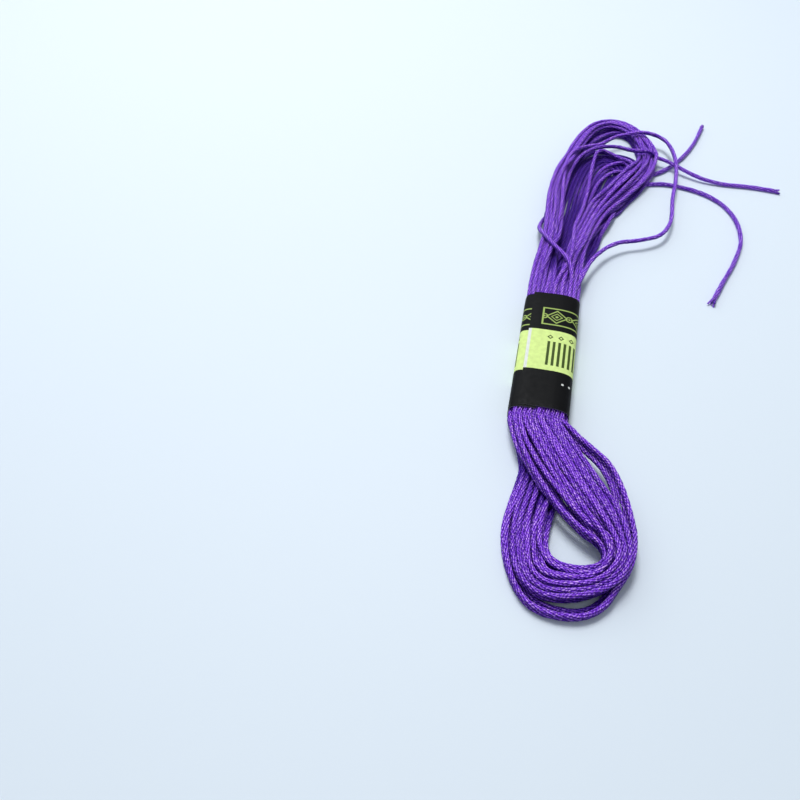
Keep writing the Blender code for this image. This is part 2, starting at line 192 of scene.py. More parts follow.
FAR_LOCKS = (
    Lock(
        "far_loop_outer", 4, 2,
        far_places(
            (0, 0, 0, 1), (1, 0, 1, 1), (2, 0, 2, 1), (0, 1, 0, 2), (1, 1, 0, 3), (2, 1, 2, 2), (3, 1, 2, 3)
        ),
        (
            (-4.5, 15.0, 4.00, 2.9, 3.4), (-4.5, 20.0, 4.00, 3.0, 3.6), (-4.4, 28.0, 3.60, 3.6, 4.2),
            (-3.9, 38.0, 3.70, 3.8, 3.8), (-3.1, 48.0, 4.00, 3.8, 3.5), (-3.1, 58.0, 4.10, 3.7, 3.4),
            (-3.2, 68.0, 4.10, 3.7, 3.3), (-2.2, 77.5, 4.00, 3.8, 3.2), (-0.3, 85.4, 3.80, 3.8, 3.1),
            (1.8, 93.8, 3.60, 3.8, 2.9), (3.9, 100.8, 3.50, 3.7, 2.6), (6.8, 106.5, 3.40, 3.6, 2.5),
            (11.0, 109.5, 3.30, 3.6, 2.5), (15.0, 109.2, 3.20, 3.6, 2.5), (19.0, 106.2, 3.00, 3.8, 2.7),
            (22.0, 101.2, 2.70, 4.2, 3.1), (23.5, 94.8, 2.30, 4.4, 3.6), (23.6, 87.2, 2.10, 4.4, 3.9),
            (20.5, 78.8, 2.00, 4.3, 4.0), (15.6, 69.8, 2.00, 4.2, 4.1), (10.2, 60.8, 2.10, 4.0, 4.1),
            (6.9, 50.6, 2.30, 4.0, 4.2), (5.2, 40.6, 2.70, 3.9, 4.3), (4.7, 30.4, 3.30, 3.6, 4.3),
            (4.5, 20.0, 4.00, 3.0, 3.6), (4.5, 15.0, 4.00, 2.9, 3.4),
        ),
    ),
    Lock(
        "far_loop_middle", 3, 2,
        far_places((0, 0, 3, 1), (2, 0, 4, 2), (0, 1, 3, 2), (1, 1, 3, 3), (2, 1, 4, 3)),
        (
            (-1.6, 15.0, 4.00, 2.2, 3.4), (-1.6, 20.0, 4.00, 2.3, 3.6), (-1.3, 29.0, 3.60, 2.7, 3.7),
            (-1.7, 39.0, 2.60, 2.9, 3.0), (-2.5, 50.0, 1.60, 3.3, 2.5), (-2.9, 61.0, 1.40, 3.5, 2.3),
            (-3.0, 71.0, 1.40, 3.5, 2.3), (-1.6, 80.0, 1.40, 3.6, 2.3), (0.9, 87.6, 1.40, 3.6, 2.3),
            (3.0, 94.2, 1.40, 3.6, 2.3), (5.2, 99.2, 1.40, 3.5, 2.3), (7.9, 103.6, 1.40, 3.5, 2.3),
            (11.0, 106.6, 1.40, 3.4, 2.3), (14.4, 107.8, 1.40, 3.2, 2.3), (17.8, 106.8, 1.40, 3.0, 2.3),
            (20.4, 103.4, 1.50, 2.9, 2.4), (21.9, 98.0, 1.90, 2.8, 2.6), (22.2, 92.2, 2.80, 2.8, 2.8),
            (21.2, 86.4, 3.40, 3.4, 2.8), (18.2, 79.8, 3.60, 4.6, 2.9), (13.9, 71.4, 3.60, 5.0, 3.0),
            (9.6, 61.6, 3.60, 4.6, 3.2), (6.4, 51.0, 3.70, 3.7, 3.4), (4.2, 40.4, 3.90, 2.9, 3.6),
            (2.6, 30.0, 4.00, 2.7, 3.9), (1.6, 20.0, 4.00, 2.3, 3.6), (1.6, 15.0, 4.00, 2.2, 3.4),
        ),
    ),
    Lock(
        "far_loop_inner", 4, 1,
        far_places((0, 0, 0, 0), (1, 0, 1, 0), (2, 0, 2, 0), (3, 0, 4, 1)),
        (
            (-4.4, 15.0, 1.50, 2.5, 1.2), (-4.4, 20.0, 1.45, 2.6, 1.3), (-3.2, 29.0, 1.10, 3.2, 1.7),
            (-1.0, 39.0, 0.80, 3.8, 1.9), (0.6, 50.0, 0.75, 4.4, 1.9), (1.6, 61.0, 0.75, 4.9, 1.9),
            (2.6, 71.0, 0.75, 4.9, 1.9), (3.9, 79.2, 0.80, 4.9, 2.0), (5.5, 86.4, 0.90, 4.9, 2.2),
            (8.4, 91.0, 1.00, 4.8, 2.3), (12.8, 91.9, 1.00, 4.6, 2.3), (16.8, 90.3, 1.00, 4.6, 2.3),
            (18.4, 85.6, 1.00, 4.7, 2.3), (17.0, 79.6, 0.95, 4.8, 2.2), (13.6, 71.6, 0.85, 4.8, 2.0),
            (9.9, 61.8, 0.75, 4.4, 1.9), (7.2, 51.8, 0.75, 4.0, 1.9), (5.4, 42.0, 0.80, 3.8, 1.9),
            (4.8, 31.0, 1.10, 3.4, 1.7), (4.4, 20.0, 1.45, 2.6, 1.3), (4.4, 15.0, 1.50, 2.5, 1.2),
        ),
        mess=0.6,
    ),
)


SINGLES = (
    Single(
        "slack_turn",
        (9, 2), (1, 2),
        (
            (5.8, 21.0, 4.0), (6.9, 28.4, 4.3), (8.6, 36.0, 4.2), (12.2, 43.4, 3.8), (17.2, 48.0, 3.6),
            (23.2, 50.8, 3.4), (27.6, 54.4, 3.3), (30.0, 60.6, 3.3), (31.0, 69.4, 3.4), (31.9, 79.6, 3.6),
            (32.4, 89.4, 3.8), (31.2, 97.0, 4.0), (28.0, 102.6, 4.4), (23.6, 103.6, 4.9),
            (19.6, 103.4, 4.9), (15.7, 101.6, 4.6), (12.9, 99.9, 4.4), (10.3, 97.1, 4.3), (8.0, 94.5, 4.4),
            (5.1, 92.8, 4.5), (2.4, 89.8, 4.7), (-0.1, 84.6, 4.8), (-1.0, 77.6, 4.8), (-1.2, 69.0, 4.7),
            (-1.3, 60.0, 4.6), (-1.6, 51.0, 4.4), (-2.8, 42.0, 4.2), (-4.4, 33.6, 4.2), (-5.1, 27.0, 4.3),
        ),
    ),
    Single(
        "crossing_turn",
        (9, 3), (5, 1),
        (
            (5.2, 21.0, 5.9), (4.9, 27.0, 6.1), (2.8, 32.4, 6.4), (-0.4, 37.2, 6.4), (-3.6, 42.2, 5.9),
            (-5.7, 47.8, 4.0), (-5.6, 54.0, 1.9), (-3.2, 61.0, 0.8), (-0.8, 68.0, 0.65), (0.5, 76.0, 0.65),
            (1.9, 83.6, 0.65), (4.0, 90.8, 0.65), (6.7, 95.2, 0.65), (10.2, 96.0, 0.65), (13.8, 94.9, 0.70),
            (17.0, 94.3, 0.70), (19.8, 92.4, 0.70), (21.2, 87.6, 0.65), (20.0, 80.8, 0.65),
            (16.6, 71.0, 0.65), (12.2, 60.8, 0.65), (8.2, 50.0, 0.70), (5.2, 40.0, 1.10), (2.6, 29.0, 2.00),
        ),
    ),
    Single(
        "spanning_turn",
        (5, 3), (5, 2),
        (
            (2.0, 22.0, 5.8), (3.0, 30.0, 5.8), (3.4, 38.0, 5.6), (4.0, 48.0, 4.9), (4.9, 58.0, 4.0),
            (5.9, 69.0, 3.4), (6.6, 79.0, 3.5), (7.0, 86.4, 3.8), (7.9, 90.8, 3.8), (9.9, 93.2, 3.3),
            (12.8, 92.6, 2.8), (15.8, 90.8, 2.6), (18.4, 89.0, 3.0), (19.4, 86.2, 4.0), (17.1, 80.8, 4.1),
            (13.4, 73.0, 4.1), (9.6, 66.2, 4.1), (7.4, 59.0, 4.2), (6.0, 50.0, 4.3), (4.4, 41.0, 4.5),
            (2.0, 30.0, 4.6),
        ),
    ),
    Single(
        "core_turn_outer",
        (3, 0), (7, 0),
        (
            (-0.9, 29.0, 0.9), (0.9, 39.0, 0.7), (3.0, 50.0, 0.65), (4.6, 61.0, 0.65), (5.4, 70.0, 0.65),
            (6.5, 78.4, 0.65), (8.1, 85.4, 0.65), (11.2, 89.4, 0.65), (14.6, 88.8, 0.65),
            (15.4, 82.6, 0.65), (12.4, 70.0, 0.65), (9.6, 61.0, 0.65), (7.4, 50.0, 0.65), (5.4, 39.0, 0.7),
            (3.5, 29.0, 0.9),
        ),
    ),
    Single(
        "core_turn_inner",
        (4, 0), (6, 0),
        (
            (0.4, 29.0, 0.9), (2.2, 39.0, 0.7), (4.2, 50.0, 0.65), (6.1, 61.0, 0.65), (6.6, 69.0, 0.65),
            (7.8, 77.0, 0.75), (10.4, 84.4, 1.30), (14.8, 89.2, 2.30), (17.4, 89.0, 2.40),
            (17.0, 83.4, 2.00), (13.9, 75.6, 1.70), (10.9, 68.0, 1.20), (8.5, 61.0, 0.65),
            (6.4, 50.0, 0.65), (4.1, 39.0, 0.7), (2.2, 29.0, 0.9),
        ),
    ),
    Single(
        "core_fold", None, None,
        (
            (5.3, 46.0, 1.3), (6.0, 55.0, 1.1), (6.4, 62.0, 1.3), (7.2, 69.0, 1.8), (9.0, 76.0, 1.9),
            (12.0, 81.8, 2.0), (15.4, 84.6, 2.1), (18.0, 83.4, 2.1), (17.6, 79.0, 2.0), (14.6, 72.4, 1.8),
            (10.8, 65.0, 1.6), (7.8, 57.6, 1.6), (6.2, 50.0, 1.5),
        ),
    ),
    Single(
        "core_fold_low", None, None,
        (
            (7.0, 57.0, 0.8), (7.6, 64.0, 0.65), (8.1, 71.0, 0.65), (9.2, 78.6, 0.65), (10.7, 84.6, 0.65),
            (12.9, 87.2, 0.65), (14.5, 84.8, 0.65), (13.6, 79.2, 0.65), (12.1, 73.0, 0.65),
            (10.6, 66.0, 0.65), (8.6, 59.0, 0.9),
        ),
    ),
    Single(
        "core_fold_middle", None, None,
        (
            (7.9, 60.0, 0.9), (8.7, 67.0, 0.8), (9.5, 74.0, 0.65), (10.6, 80.2, 0.65), (11.9, 83.8, 0.65),
            (13.1, 83.6, 0.65), (12.2, 79.0, 0.65), (10.8, 73.4, 0.65), (9.8, 67.6, 0.65), (8.8, 61.0, 0.9),
        ),
    ),
    Single(
        "root_of_straight_end", (1, 3), None,
        (
            (-4.4, 28.0, 5.5), (-2.9, 38.0, 4.8), (-1.1, 48.0, 4.2), (-0.6, 58.0, 3.6), (-0.5, 67.0, 3.4),
            (-0.1, 75.0, 3.4), (0.9, 81.8, 3.6), (2.9, 87.4, 4.0), (5.4, 91.0, 4.3), (8.2, 93.3, 4.4),
            (11.3, 94.4, 4.4), (14.2, 94.6, 4.4), (17.0, 93.6, 4.5), (19.6, 92.6, 4.9), (22.2, 92.5, 5.1),
            (24.4, 92.9, 4.3), (25.95, 93.3, 2.70),
        ),
    ),
    Single(
        "root_of_short_end", (5, 0), None,
        (
            (4.0, 29.0, 0.9), (6.0, 39.0, 0.65), (8.8, 50.0, 0.65), (12.2, 61.0, 0.65), (16.0, 71.0, 0.65),
            (19.4, 78.6, 0.65), (22.4, 83.2, 0.65), (25.35, 86.3, 0.65),
        ),
    ),
    Single(
        "root_of_curved_end", None, None,
        (
            (14.2, 72.0, 0.65), (16.2, 75.8, 0.65), (18.8, 78.8, 0.65), (21.0, 80.2, 0.65),
            (23.45, 80.9, 0.65),
        ),
    ),
)

# The routes of the three free ends, out of the far loop and over the table.
FREE_ENDS = {
    "free_end_short": (
        (25.35, 86.3, 0.65), (28.9, 89.4, 0.65), (31.6, 93.0, 0.65), (34.4, 97.4, 0.65),
        (37.1, 103.0, 0.65), (39.5, 109.8, 0.65), (41.9, 119.0, 0.65),
    ),
    "free_end_straight": (
        (25.95, 93.3, 2.70), (29.6, 92.2, 2.45), (33.0, 90.2, 2.15), (36.6, 88.2, 1.75), (41.0, 86.6, 1.20),
        (46.8, 86.0, 0.70), (52.6, 86.2, 0.65), (58.4, 86.0, 0.65), (63.8, 85.4, 0.65),
    ),
    "free_end_curved": (
        (23.45, 80.9, 0.65), (28.4, 82.2, 0.65), (33.2, 82.0, 0.65), (38.9, 80.4, 0.65), (43.4, 77.8, 0.65),
        (47.2, 73.6, 0.65), (49.8, 67.0, 0.65), (50.3, 58.2, 0.65), (47.9, 48.6, 0.65), (44.2, 38.8, 0.65),
        (40.9, 29.6, 0.65),
    ),
}


# --------------------------------------------------------------------------- curves


def along(path: np.ndarray) -> np.ndarray:
    """Return the distance from a path's start to each of its points."""
    steps = np.linalg.norm(np.diff(path[:, :3], axis=0), axis=1)
    return np.concatenate(([0.0], np.cumsum(steps)))


def evenly(points: np.ndarray, step: float) -> np.ndarray:
    """Return points at even distances along a broken line.

    Args:
        points: the line's points, with any further values in the columns after z.
        step: the distance between points, which is stretched a little to fit the length.

    Returns:
        The points, with the further values carried along.
    """
    place = along(points)
    even = np.linspace(0, place[-1], max(2, ceil(place[-1] / step) + 1))
    return np.column_stack([np.interp(even, place, column) for column in points.T])


def smooth_curve(rows: np.ndarray, step: float, parts: int = 12) -> np.ndarray:
    """Return points at even distances along the Catmull-Rom curve through the rows.

    Args:
        rows: control points, with any further values in the columns after z.
        step: the distance between points.
        parts: how many parts each stretch between two rows is cut into first.

    Returns:
        The points, with the further values carried along.
    """
    padded = np.vstack((2 * rows[0] - rows[1], rows, 2 * rows[-1] - rows[-2]))
    t = np.linspace(0, 1, parts, endpoint=False)[:, None]
    dense = []
    for p0, p1, p2, p3 in zip(padded, padded[1:], padded[2:], padded[3:]):
        linear = (p2 - p0) * t
        square = (2 * p0 - 5 * p1 + 4 * p2 - p3) * t**2
        cube = (3 * p1 - p0 - 3 * p2 + p3) * t**3
        dense.append(0.5 * (2 * p1 + linear + square + cube))
    return evenly(np.vstack((*dense, rows[-1])), step)


def wave(place: np.ndarray, length: float, rng: np.random.Generator) -> np.ndarray:
    """Return a sine wave of this length that starts at a random point of its turn."""
    return np.sin(2 * pi * (place / length + rng.random()))


# The lengths and shares of the waves in which a thread wanders, and how each is stretched.
WANDER_WAVES = ((64.0, 0.55), (31.0, 0.35), (15.0, 0.14))
WAVE_STRETCH = (0.8, 1.25)


def wander(place: np.ndarray, rng: np.random.Generator, reach: float) -> np.ndarray:
    """Return a smooth random sideways shift along a thread.

    Args:
        place: distances along the thread.
        rng: the source of the waves' lengths and starts.
        reach: about how far the thread strays.

    Returns:
        The shift at each distance.
    """
    shift = np.zeros_like(place)
    for length, share in WANDER_WAVES:
        shift += share * wave(place, length * rng.uniform(*WAVE_STRETCH), rng)
    return reach * shift


def ease(t: np.ndarray) -> np.ndarray:
    """Return a smooth step from 0 to 1 as t goes from 0 to 1."""
    t = np.clip(t, 0.0, 1.0)
    return t * t * (3.0 - 2.0 * t)


def fade_in_and_out(place: np.ndarray, length: float) -> np.ndarray:
    """Return a share that grows from 0 at both ends to 1 in the middle, over this length."""
    return ease(place / length) * ease((place[-1] - place) / length)


# --------------------------------------------------------------------------- winding


@dataclass
class Thread:
    """One thread's path before and after it settles, and which of its points stay put."""

    piece: str
    path: np.ndarray
    held: np.ndarray


@dataclass
class Settling:
    """Lets the threads push each other apart, sink and come to rest, by moving their points.

    A segment lies between two neighbouring points of a thread. A pair is a point and a segment
    that may touch. owner and order are each point's thread and its number on it, starts the
    points where segments start, and inner the points with a neighbour on either side.
    """

    threads: list[Thread]
    spacing: float = 1.10
    floor: float = 0.58
    sink: float = 0.012
    pull: float = 0.035
    late_pull: float = 0.3
    late_from: float = 0.8
    stiffness: float = 0.30
    tautness: float = 0.25
    push: float = 1.5
    slack_reach: float = 0.35
    own_gap: int = 4
    rounds: int = 260
    quick_rounds: int = 60
    refresh: int = 8
    owner: np.ndarray = field(init=False)
    order: np.ndarray = field(init=False)
    points: np.ndarray = field(init=False)
    guide: np.ndarray = field(init=False)
    free: np.ndarray = field(init=False)
    weight: np.ndarray = field(init=False)
    starts: np.ndarray = field(init=False)
    length: np.ndarray = field(init=False)
    inner: np.ndarray = field(init=False)
    bend: np.ndarray = field(init=False)
    pair_points: np.ndarray = field(init=False)
    pair_starts: np.ndarray = field(init=False)

    def __post_init__(self) -> None:
        """Take the threads' points together, with their segments' lengths and their own bends."""
        sizes = [len(thread.path) for thread in self.threads]
        self.owner = np.repeat(np.arange(len(sizes)), sizes)
        self.order = np.concatenate([np.arange(n) for n in sizes])
        self.points = np.vstack([thread.path for thread in self.threads])
        self.guide = self.points.copy()
        self.free = ~np.concatenate([thread.held for thread in self.threads])
        self.weight = self.free.astype(float)
        self.starts = np.flatnonzero(self.owner[:-1] == self.owner[1:])
        self.length = np.linalg.norm(self.guide[self.starts + 1] - self.guide[self.starts], axis=1)
        inner = self.starts[1:]
        self.inner = inner[self.owner[inner - 1] == self.owner[inner]]
        self.bend = self.guide[self.inner] - (self.guide[self.inner - 1] + self.guide[self.inner + 1]) / 2

    def near_pairs(self, middles: np.ndarray, reach: float) -> tuple[np.ndarray, np.ndarray]:
        """Return the indices of points and segments that are closer than reach.

        Args:
            middles: the segments' middles.
            reach: the greatest distance.

        Returns:
            Two arrays of the same length, of point and segment indices.
        """
        points = self.points
        low = middles.min(0) - 2 * reach
        cells = np.floor((middles - low) / reach).astype(np.int64)
        own = np.floor((points - low) / reach).astype(np.int64)
        size = np.maximum(cells.max(0), own.max(0)) + 3
        weights = np.array([1, size[0], size[0] * size[1]])
        keys = cells @ weights
        order = np.argsort(keys, kind="stable")
        keys = keys[order]
        found_p, found_s = [], []
        steps = (-1, 0, 1)
        for step in ((dx, dy, dz) for dx in steps for dy in steps for dz in steps):
            wanted = (own + step) @ weights
            start = np.searchsorted(keys, wanted, "left")
            count = np.searchsorted(keys, wanted, "right") - start
            p = np.repeat(np.arange(len(points)), count)
            first = np.repeat(start - np.concatenate(([0], np.cumsum(count)[:-1])), count)
            s = order[first + np.arange(len(p))]
            close = ((points[p] - middles[s]) ** 2).sum(1) < reach * reach
            found_p.append(p[close])
            found_s.append(s[close])
        return np.concatenate(found_p), np.concatenate(found_s)

    def find_pairs(self) -> None:
        """Find the pairs that may touch in the next rounds, but not a thread's own neighbours."""
        middles = (self.points[self.starts] + self.points[self.starts + 1]) / 2
        p, s = self.near_pairs(middles, self.spacing + self.length.max() / 2 + self.slack_reach)
        a = self.starts[s]
        apart = (self.owner[p] != self.owner[a]) | (np.abs(self.order[p] - self.order[a]) > self.own_gap)
        self.pair_points, self.pair_starts = p[apart], a[apart]

    def rest(self, late: bool) -> None:
        """Draw the points back towards their guides, let them sink, and keep each bend and length.

        Args:
            late: whether the guides pull less, as they do in the last rounds.
        """
        points, weight, inner, starts = self.points, self.weight, self.inner, self.starts
        move = (self.guide - points) * self.pull * (self.late_pull if late else 1.0)
        move[:, 2] -= self.sink
        points += move * weight[:, None]
        middle = (points[inner - 1] + points[inner + 1]) / 2
        points[inner] += (middle + self.bend - points[inner]) * self.stiffness * weight[inner, None]
        span = points[starts + 1] - points[starts]
        now = np.linalg.norm(span, axis=1)
        change = span * (self.tautness * (now - self.length) / now)[:, None]
        points[starts] += change * weight[starts, None]
        points[starts + 1] -= change * weight[starts + 1, None]

    def nearest(self) -> tuple[np.ndarray, np.ndarray, np.ndarray]:
        """Find the gap of each pair.

        Returns:
            How far along its segment each pair is nearest, and the gap's vector and size.
        """
        start = self.points[self.pair_starts]
        span = self.points[self.pair_starts + 1] - start
        share = ((self.points[self.pair_points] - start) * span).sum(1)
        share = np.clip(share / np.maximum((span * span).sum(1), 1e-9), 0.0, 1.0)
        gap = self.points[self.pair_points] - start - span * share[:, None]
        return share, gap, np.sqrt((gap * gap).sum(1)) + 1e-9

    def part(self) -> None:
        """Push apart every pair that is closer than a thread's thickness, and lift it off the table."""
        share, gap, size = self.nearest()
        hit = size < self.spacing
        p, a, share, gap, size = (
            values[hit] for values in (self.pair_points, self.pair_starts, share, gap, size)
        )
        push = gap * ((self.spacing - size) / size * 0.5)[:, None]
        where = np.concatenate((p, a, a + 1))
        moves = np.concatenate((push, -push * (1 - share)[:, None], -push * share[:, None]))
        parts = np.concatenate((np.ones(len(p)), 1 - share, share))
        total = len(self.points)
        count = np.maximum(np.bincount(where, parts, total), 1.0)
        for axis in range(3):
            pushed = np.bincount(where, moves[:, axis], total)
            self.points[:, axis] += self.push * self.weight * pushed / count
        np.maximum(self.points[:, 2], self.floor, out=self.points[:, 2], where=self.free)

    def run(self) -> None:
        """Move every thread's free points until they lie clear of each other, and keep the result."""
        rounds = self.rounds
        for turn in range(rounds):
            if turn % self.refresh == 0:
                self.find_pairs()
            self.rest(turn > rounds * self.late_from)
            self.part()
        overlap = float(self.spacing - self.nearest()[2].min())
        counts = len(self.points), len(self.pair_points)
        LOG.info("settled %d points, %d pairs, overlap %.2f mm", *counts, overlap)
        for number, thread in enumerate(self.threads):
            thread.path = self.points[self.owner == number]


@dataclass
class Winding:
    """The skein's turns of thread, from the band round the front loop and the far loop."""

    step: float = 1.4
    band_half: float = 19.0
    band_clear: float = 1.5
    fan: float = 16.0
    sideways: float = 0.38
    upward: float = 0.20
    stray: float = 0.95
    stray_chance: tuple[float, float] = (-0.8, 1.0)
    stray_middle: tuple[float, float] = (0.2, 0.8)
    stray_half: tuple[float, float] = (9.0, 18.0)
    stray_lift: float = 0.7
    lock_fade: float = 26.0
    single_fade: float = 20.0
    crown: float = 0.34
    loose: float = 0.45
    packed_x: float = 0.06
    packed_z: float = 0.22
    full_pitch: float = 1.12
    pitch_range: float = 0.5
    thickness: float = 1.2
    ends_held: int = 3
    seed: int = 11
    threads: list[Thread] = field(default_factory=list)

    def slot_place(self, slot: Slots, rng: np.random.Generator) -> tuple[float, float]:
        """Return x and z of a band slot, a little out of line as packed threads are.

        Args:
            slot: column and row in the band.
            rng: the source of the small shifts.

        Returns:
            Its place across the band and above the table.
        """
        column, row = slot
        x = ROW_HALF_SPANS[row] * (2 * column / LAST_COLUMN - 1)
        z = ROW_HEIGHTS[row] - self.crown * max(0, row - 2) * (x / ROW_HALF_SPANS[-1]) ** 2
        packed_z = 0.0 if row in (0, len(ROW_HEIGHTS) - 1) else self.packed_z
        return x + rng.uniform(-self.packed_x, self.packed_x), z + rng.uniform(-1, 1) * packed_z

    def into_band(self, path: np.ndarray, slot: Slots, sign: float, rng: np.random.Generator) -> np.ndarray:
        """Lead the start of a path into its band slot and on to the band's middle.

        Args:
            path: the path, which starts near the band's edge.
            slot: column and row in the band.
            sign: -1 for the front of the band and 1 for the far side.
            rng: the source of small random shifts.

        Returns:
            The longer path, which starts at y = 0.
        """
        x, z = self.slot_place(slot, rng)
        outside = path[np.argmax(path[:, 1] * sign > self.band_half + self.band_clear) :]
        share = 1.0 - ease(along(outside) / self.fan)
        outside = outside + share[:, None] * np.array([x - outside[0, 0], 0.0, z - outside[0, 2]])
        inside = np.linspace(0.0, outside[0, 1] - sign * self.step, ceil(self.band_half / self.step))
        lead = np.column_stack((np.full_like(inside, x), inside, np.full_like(inside, z)))
        return np.vstack((lead, outside))

    def add_thread(
        self, name: str, path: np.ndarray, leave: Slots | None, back: Slots | None, rng: np.random.Generator
    ) -> None:
        """Lead both ends of a path into the band, where they have a slot there, and keep the thread.

        The points in the band stay put while the threads settle, and so do the last few before an
        end outside it.

        Args:
            name: the piece that the thread belongs to.
            path: the thread's path outside the band.
            leave: the band slot where it starts.
            back: the band slot where it returns.
            rng: the source of small random shifts.
        """
        sign = 1.0 if path[:, 1].mean() > 0 else -1.0
        if leave:
            path = self.into_band(path, leave, sign, rng)
        if back:
            path = self.into_band(path[::-1], back, sign, rng)[::-1]
        path = smooth_curve(path, self.step)
        held = np.abs(path[:, 1]) < self.band_half
        if back is None:
            held[-self.ends_held :] = True
        self.threads.append(Thread(name, path, held))

    def strayed(self, place: np.ndarray, rng: np.random.Generator) -> np.ndarray:
        """Return how far a thread stands off its lock: one slack stretch, for some threads.

        Args:
            place: distances along the thread.
            rng: the source of the stretch's place, length and height.

        Returns:
            The distance off the lock at each place.
        """
        slack = self.stray * max(0.0, rng.uniform(*self.stray_chance))
        middle, half = place[-1] * rng.uniform(*self.stray_middle), rng.uniform(*self.stray_half)
        return slack * np.exp(-(((place - middle) / half) ** 2))

    def lay_lock(self, lock: Lock, rng: np.random.Generator) -> None:
        """Lay the threads of one lock side by side along its line.

        Args:
            lock: the lock.
            rng: the source of the threads' wander.
        """
        line = smooth_curve(np.array(lock.rows), self.step)
        place = along(line)
        side = np.cross(np.gradient(line[:, :3], axis=0), UP)
        side /= np.linalg.norm(side, axis=1)[:, None]
        fade = fade_in_and_out(place, self.lock_fade)
        room = np.maximum(line[:, 3] - self.thickness, 0.0)
        half = np.maximum(line[:, 4] - self.thickness, 0.0) / 2
        split = sum(gap for _, gap in lock.splits)
        pitch = np.maximum(room - split * fade, 0.0) / max(1, lock.across - 1)
        crowded = np.clip((self.full_pitch - pitch) / self.pitch_range, 0.0, 1.0)
        for p in lock.places:
            apart = sum(gap for after, gap in lock.splits if p.side > after) - split / 2
            across = (p.side - (lock.across - 1) / 2) * pitch + apart * fade
            squeeze = crowded * (p.side % 2)
            height = 0.0 * half
            if lock.layers > 1:
                height = (2 * p.layer - 1) * (half - squeeze * np.minimum(half, 1.0))
            strayed = self.strayed(place, rng)
            sideways = wander(place, rng, self.sideways * lock.mess) + strayed * rng.uniform(-1.0, 1.0)
            upward = wander(place, rng, self.upward * lock.mess)
            upward = upward + np.abs(strayed) * self.stray_lift * p.layer
            path = line[:, :3] + side * (across + fade * sideways)[:, None]
            path = path + UP * (height + fade * upward)[:, None]
            self.add_thread(lock.name, path, p.leave, p.back, rng)

    def lay_single(self, single: Single, rng: np.random.Generator) -> None:
        """Lay one thread that runs by itself.

        Args:
            single: the thread.
            rng: the source of its wander.
        """
        path = smooth_curve(np.array(single.rows), self.step)
        place = along(path)
        fade = fade_in_and_out(place, self.single_fade)
        path[:, 0] += fade * wander(place, rng, self.loose)
        path[:, 2] += fade * np.abs(wander(place, rng, self.loose))
        self.add_thread(single.name, path, single.leave, single.back, rng)

    def build(self) -> list[Thread]:
        """Lay every thread along its guide and let them settle, with the free ends as obstacles.

        Returns:
            The threads of the hank.
        """
        rng = np.random.default_rng(self.seed)
        for lock in FRONT_LOCKS + FAR_LOCKS:
            self.lay_lock(lock, rng)
        for single in SINGLES:
            self.lay_single(single, rng)
        hank = list(self.threads)
        for name, rows in FREE_ENDS.items():
            path = smooth_curve(np.array(rows), self.step)
            self.threads.append(Thread(name, path, np.ones(len(path), bool)))
        Settling(self.threads).run()
        return hank


@dataclass
class Canopy:
    """The threads' height round each place: how deep a point lies among them sets its painted shade."""

    threads: list[Thread]
    cell: float = 1.0
    reach: int = 5
    clear: float = 0.05
    deep: float = 1.4
    corner: np.ndarray = field(init=False)
    level: np.ndarray = field(init=False)

    def __post_init__(self) -> None:
        """Take the highest thread of each cell, and the mean height of the cells round it."""
        points = np.vstack([thread.path for thread in self.threads])
        margin = (self.reach + 2) * self.cell
        self.corner = points[:, :2].min(axis=0) - margin
        size = ((points[:, :2].max(axis=0) + margin - self.corner) / self.cell).astype(int)
        top = np.zeros(size)
        cells = ((points[:, :2] - self.corner) / self.cell).astype(int)
        np.maximum.at(top, (cells[:, 0], cells[:, 1]), points[:, 2])
        near = [(i, j) for i in (-1, 0, 1) for j in (-1, 0, 1)]
        top = np.max([np.roll(top, shift, axis=(0, 1)) for shift in near], axis=0)
        steps = range(-self.reach, self.reach + 1)
        disc = [(i, j) for i in steps for j in steps if i * i + j * j <= self.reach**2]
        self.level = np.mean([np.roll(top, shift, axis=(0, 1)) for shift in disc], axis=0)

    def depth(self, points: np.ndarray) -> np.ndarray:
        """Return how deep points lie, from 0 in the open to 1 at the bottom, for their painted shade.

        Args:
            points: places in millimetres.

        Returns:
            The depth of each point.
        """
        place = (points[:, :2] - self.corner) / self.cell - 0.5
        cell = np.clip(place.astype(int), 0, np.array(self.level.shape) - 2)
        a, b = (place - cell).T
        i, j = cell.T
        low = self.level[i, j] * (1 - a) + self.level[i + 1, j] * a
        high = self.level[i, j + 1] * (1 - a) + self.level[i + 1, j + 1] * a
        return ease((low * (1 - b) + high * b - points[:, 2] - self.clear) / self.deep)


# --------------------------------------------------------------------------- thread meshes


@dataclass
class Patch:
    """Vertices and faces of part of a mesh, with where each face corner is on its thread or strip."""

    vertices: np.ndarray
    quads: np.ndarray
    quad_run: np.ndarray
    triangles: np.ndarray = field(default_factory=lambda: np.zeros((0, 3), int))
    triangle_run: np.ndarray = field(default_factory=lambda: np.zeros((0, 3)))


def join(patches: list[Patch]) -> Patch:
    """Join patches.

    Args:
        patches: patches whose faces count their own vertices.

    Returns:
        All of them as one.
    """
    shifts = np.cumsum([0] + [len(p.vertices) for p in patches[:-1]])
    return Patch(
        np.vstack([p.vertices for p in patches]),
        np.vstack([p.quads + k for p, k in zip(patches, shifts)]),
        np.vstack([p.quad_run for p in patches]),
        np.vstack([p.triangles + k for p, k in zip(patches, shifts)]),
        np.vstack([p.triangle_run for p in patches]),
    )


